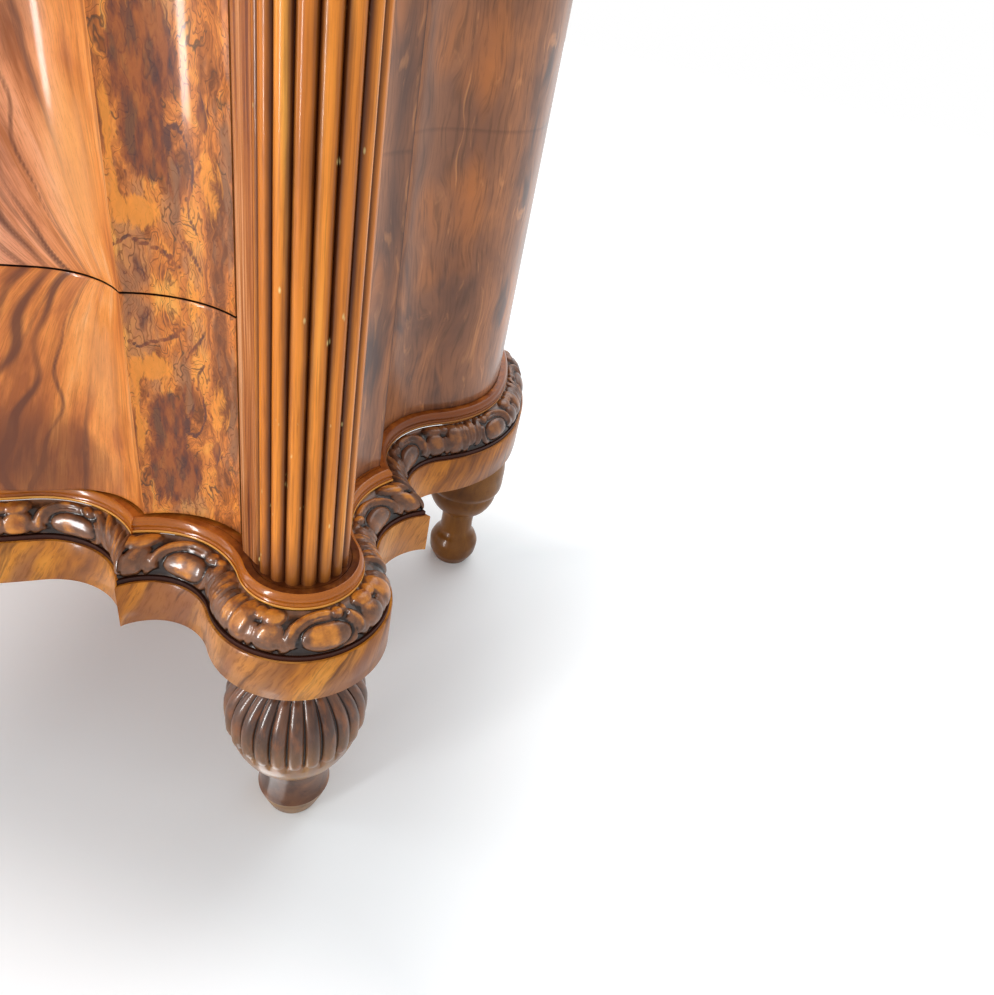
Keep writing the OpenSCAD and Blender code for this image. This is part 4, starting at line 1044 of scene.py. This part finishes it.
def gadroon(a, z, r):
    """Lobes that stand on the bowl and end in round noses over its plain lower part."""
    x = (a / 360.0 * LOBES) % 1.0 * 2 - 1
    nose = NOSE + 9.0 * (1 - np.sqrt(np.clip(1 - x ** 2 * 0.98, 0, None)))
    up = np.clip((z - nose) / 7.0, 0, 1) ** 0.5
    lobe = np.sqrt(np.clip(1 - x ** 2 * 0.97, 0, None))
    stand = 1.9 * up * (0.35 + 0.65 * lobe) - 6.4 * (1 - lobe) * np.clip((z - NOSE + 7.0) / 14.0, 0, 1)
    # How dark the groove between two lobes is painted, as painted shade.
    deep = np.clip((1 - lobe) * 2.4 - 0.9, 0, 1) * np.clip((z - NOSE + 3.0) / 8.0, 0, 1)
    fade = np.clip((204.0 - z) / 10.0, 0, 1)
    return r + stand * np.clip(r / 61.0, 0.4, 1) * fade, deep * fade


FRONT_LOW = [(25, 0.0), (27.6, 7), (31.2, 17), (33.6, 25.5), (34.3, 27.6)]
FRONT_PAD = [(34.3, 27.6), (33.9, 29.4), (32.9, 33), (32.1, 38), (31.6, 44), (31.5, 52), (31.9, 60), (32.6, 66),
             (33, 69.4)]
FRONT_BULB = [(33, 69.4), (34.6, 71.4), (38.0, 75.9), (43.9, 85), (50.0, 95), (55.3, 107), (58.0, 116), (59.4, 122),
              (60.6, 130), (61.2, 139), (61.2, 147), (60.2, 157), (57.6, 166), (53.6, 174), (48.2, 181), (42, 187),
              (37, 190.6), (34, 194), (32.6, 199), (32.6, 206), (33.6, 216), (36.6, 227), (40, 235)]
REAR = [(24, 0), (28, 7), (32, 15), (33, 22), (33, 33), (31, 38), (29, 42), (25, 47), (22.6, 52), (22, 58), (22, 74),
        (22.8, 81), (24, 85), (27, 87.6), (30, 90.5), (36, 95), (40, 101), (43.2, 108), (45, 114), (45.7, 120),
        (46, 125), (48, 128), (50, 131.5), (51, 138), (51, 150), (51, 160), (50, 170), (48, 181), (45.6, 194),
        (42, 208), (38.6, 222), (37, 235)]
REAR_AT = [36.0, 427.0, 0]


def foot(at, n, *parts):
    """A turned foot from its profiles, each with its shape and finish."""
    b = Build()
    for prof, shape, kind in parts:
        lathe(b, prof, n, shape, kind)
    b.v = [v + at for v in b.v]
    return b


FEET = (("front_foot", "_carved", [FOOT, PAD, PAD_DARK],
         foot([0.0, 0.0, 0.0], 500, ([(0.01, 0), FRONT_LOW[0]], None, 1), (smooth_profile(FRONT_LOW), None, 1),
              (smooth_profile(FRONT_PAD), None, 2), (smooth_profile(FRONT_BULB), gadroon, 0))),
        ("rear_foot", "_turned", [REAR_FOOT],
         foot(REAR_AT, 96, ([(0.01, 0), REAR[0]], None, 0), (smooth_profile(REAR, 1.2), None, 0))))
for side, end in SIDES:
    for node, made, mats, b in FEET:
        piece(node + made + end, b, mats, "carcass", [node + end], side)

KNOB_X = 230.0
KNOB_LINE = [(14, 0.0), (14, 1.4), (12.6, 2.6), (9.4, 4.4), (7.4, 7.6), (7.0, 11), (7.9, 15), (11, 17.8), (14.9, 20),
             (17.2, 22.4), (18, 25), (17.4, 27.8), (15.9, 29.3), (12, 31), (9.9, 31.5), (5, 31.9), (0.01, 32)]


def knobs(n):
    """A drawer's two knobs, square to the bow."""
    k = Build()
    lathe(k, smooth_profile(KNOB_LINE, 0.6), 64)
    v = np.concatenate(k.v)
    b = Build()
    for sign in (1, -1):
        a = math.asin(KNOB_X / CASE.bow_r) * sign
        out, across = np.array([math.sin(a), -math.cos(a)]), np.array([math.cos(a), math.sin(a)])
        xy = CASE.bow_c + CASE.bow_r * out + v[:, 2:] * out + v[:, :1] * across
        b.f += [[i + b.n for i in f] for f in k.f]
        b.m += k.m
        b.add(col3(xy, sum(GAPS[n - 1]) / 2 + v[:, 1]), np.concatenate(k.uv))
    piece(f"drawer_{n}_knobs_turned", b, [KNOB], f"drawer_{n}", [f"drawer_{n}_knobs"])


for n in (1, 2, 3):
    knobs(n)


# ---------------------------------------------------------------- top
def make_top():
    """The top: a thin lower step, a quirk and a rounded edge, mirrored from its right-hand half."""
    step, lip = 12.0, 860.0
    CASE.back = BACK + 5.0
    parts = split_profile([(-40.0, BODY), (step - 1, BODY), None, (step, BODY + 1), (step, BODY + 9.4), None,
                           (step, lip), (18.6, lip), None] + round_line((18.6, lip), (16.5, TOP), 4.2, 14)[1:])
    b = Build()
    rim_top, rim_low, back = [], [], []
    for part in parts:
        for run, off in (("front", 0), ("corner", 420), ("side", 800)):
            p, uv = swept(CASE, run, part, 3.0, off)
            b.grid(p, uv)
            b.grid(mirrored(p), uv, flip=True)
            if part is parts[-1]:
                rim_top.append(p[:, -1])
            if part is parts[1]:
                rim_low.append(p[:, 0])
        back += [(*CASE.outline("side", 50.0, d=d)[-1], z) for d, z in part]
    for rim, flip in ((np.concatenate(rim_top), False), (np.concatenate(rim_low), True), (np.array(back), False)):
        b.ngon(np.concatenate([rim, mirrored(rim)[::-1]]), flip=flip)
    CASE.back = BACK
    piece("top_veneered", b, [TOP_VENEER], "carcass", ["top"])


make_top()

# ---------------------------------------------------------------- carried-over nodes
for name, node in frame["nodes"].items():
    if node.hide_render:
        continue
    if name.startswith("drawer_") and "stops" not in name:
        mat = OAK
    elif name in ("back_panel", "plinth_back"):
        mat = BACK_PINE
    elif name.startswith(("plinth", "corner_block", "rear_block")):
        mat = BAND_WOOD
    else:
        mat = LEDGE if name == "deck" else PINE
    node.data.materials.clear()
    node.data.materials.append(mat)

# ---------------------------------------------------------------- studio
FLOOR, BELOW = 9.0, -0.0005
floor_mesh = bpy.data.meshes.new("floor")
floor_mesh.from_pydata([(x * FLOOR, y * FLOOR, BELOW) for x, y in ((-1, -1), (1, -1), (1, 1), (-1, 1))], [],
                       [(0, 1, 2, 3)])
floor = added("floor", floor_mesh)
m = Mat("floor_white")
# Camera and gloss rays see the floor glow, a painted light brighter under the middle, beyond the ends and in front
# and behind, so the floor stays darker only round the feet.
place = m.absolute(m.obj())
beside = m.ramp(m.axis(place, 0), (0.02, 0.30, 0.26, 0, 0.60, 0, 0.85, 0.25), "EASE")
before = m.ramp(m.axis(place, 1), (0.26, 0, 0.46, 0.35), "EASE")
painted_floor_light = m.math("ADD", m.math("MAXIMUM", beside, before), 0.05)
m.finish((0.86, 0.895, 0.91, 1), 0.9, glow=m.node("Emission", Strength=m.times(m.direct(), painted_floor_light)))
floor_mesh.materials.append(m.mat)

scene.world = bpy.data.worlds.new("studio")
sky = Tree(scene.world)
lit = sky.node("Background", Color=(0.97, 0.98, 1.0, 1), Strength=0.70)
seen = sky.node("Background", Color=(1, 1, 1, 1), Strength=1.0)
sky.node("OutputWorld", i0=sky.node("MixShader", i0=sky.direct(), i1=lit, i2=seen))


def lamp(name, kind, power, turn):
    """A lamp, turned by a quaternion."""
    light = bpy.data.lights.new(name, kind)
    light.energy = power
    obj = added(name, light)
    obj.rotation_mode = "QUATERNION"
    obj.rotation_quaternion = turn
    return obj


def facing(v):
    return Vector(v).to_track_quat("-Z", "Y")


def area(name, where, turn, size, power, gloss_only=False):
    obj = lamp(name, "AREA", power, turn)
    obj.data.shape = "RECTANGLE"
    obj.data.size, obj.data.size_y = size
    obj.location = where
    obj.visible_camera = False
    obj.visible_diffuse = not gloss_only


# Tall windows to the left, which look at the right-hand column, and a small glow under the front foot
LOOK_AT, WINDOW = Vector((0.36, -0.17, 0)), (0.26, 2.2)
for name, where, size, power, gloss_only in (
        ("window_a", (-0.70, -2.14, 1.22), WINDOW, 22, False),
        ("window_glint", (-0.72, -2.18, 1.22), WINDOW, 66, True),
        ("window_b", (-1.75, -0.86, 1.25), (0.30, 2.2), 9, False)):
    area(name, where, facing(LOOK_AT + Vector((0, 0, where[2])) - Vector(where)), size, power, gloss_only)
area("floor_glint", (0.480, -0.2585, 0.001), Euler((math.pi, 0, math.radians(-20.8))).to_quaternion(),
     (0.05, 0.08), 0.022, True)
lamp("high_soft", "SUN", 1.15, facing((-0.1, -0.8, -1.0))).data.angle = math.radians(50)
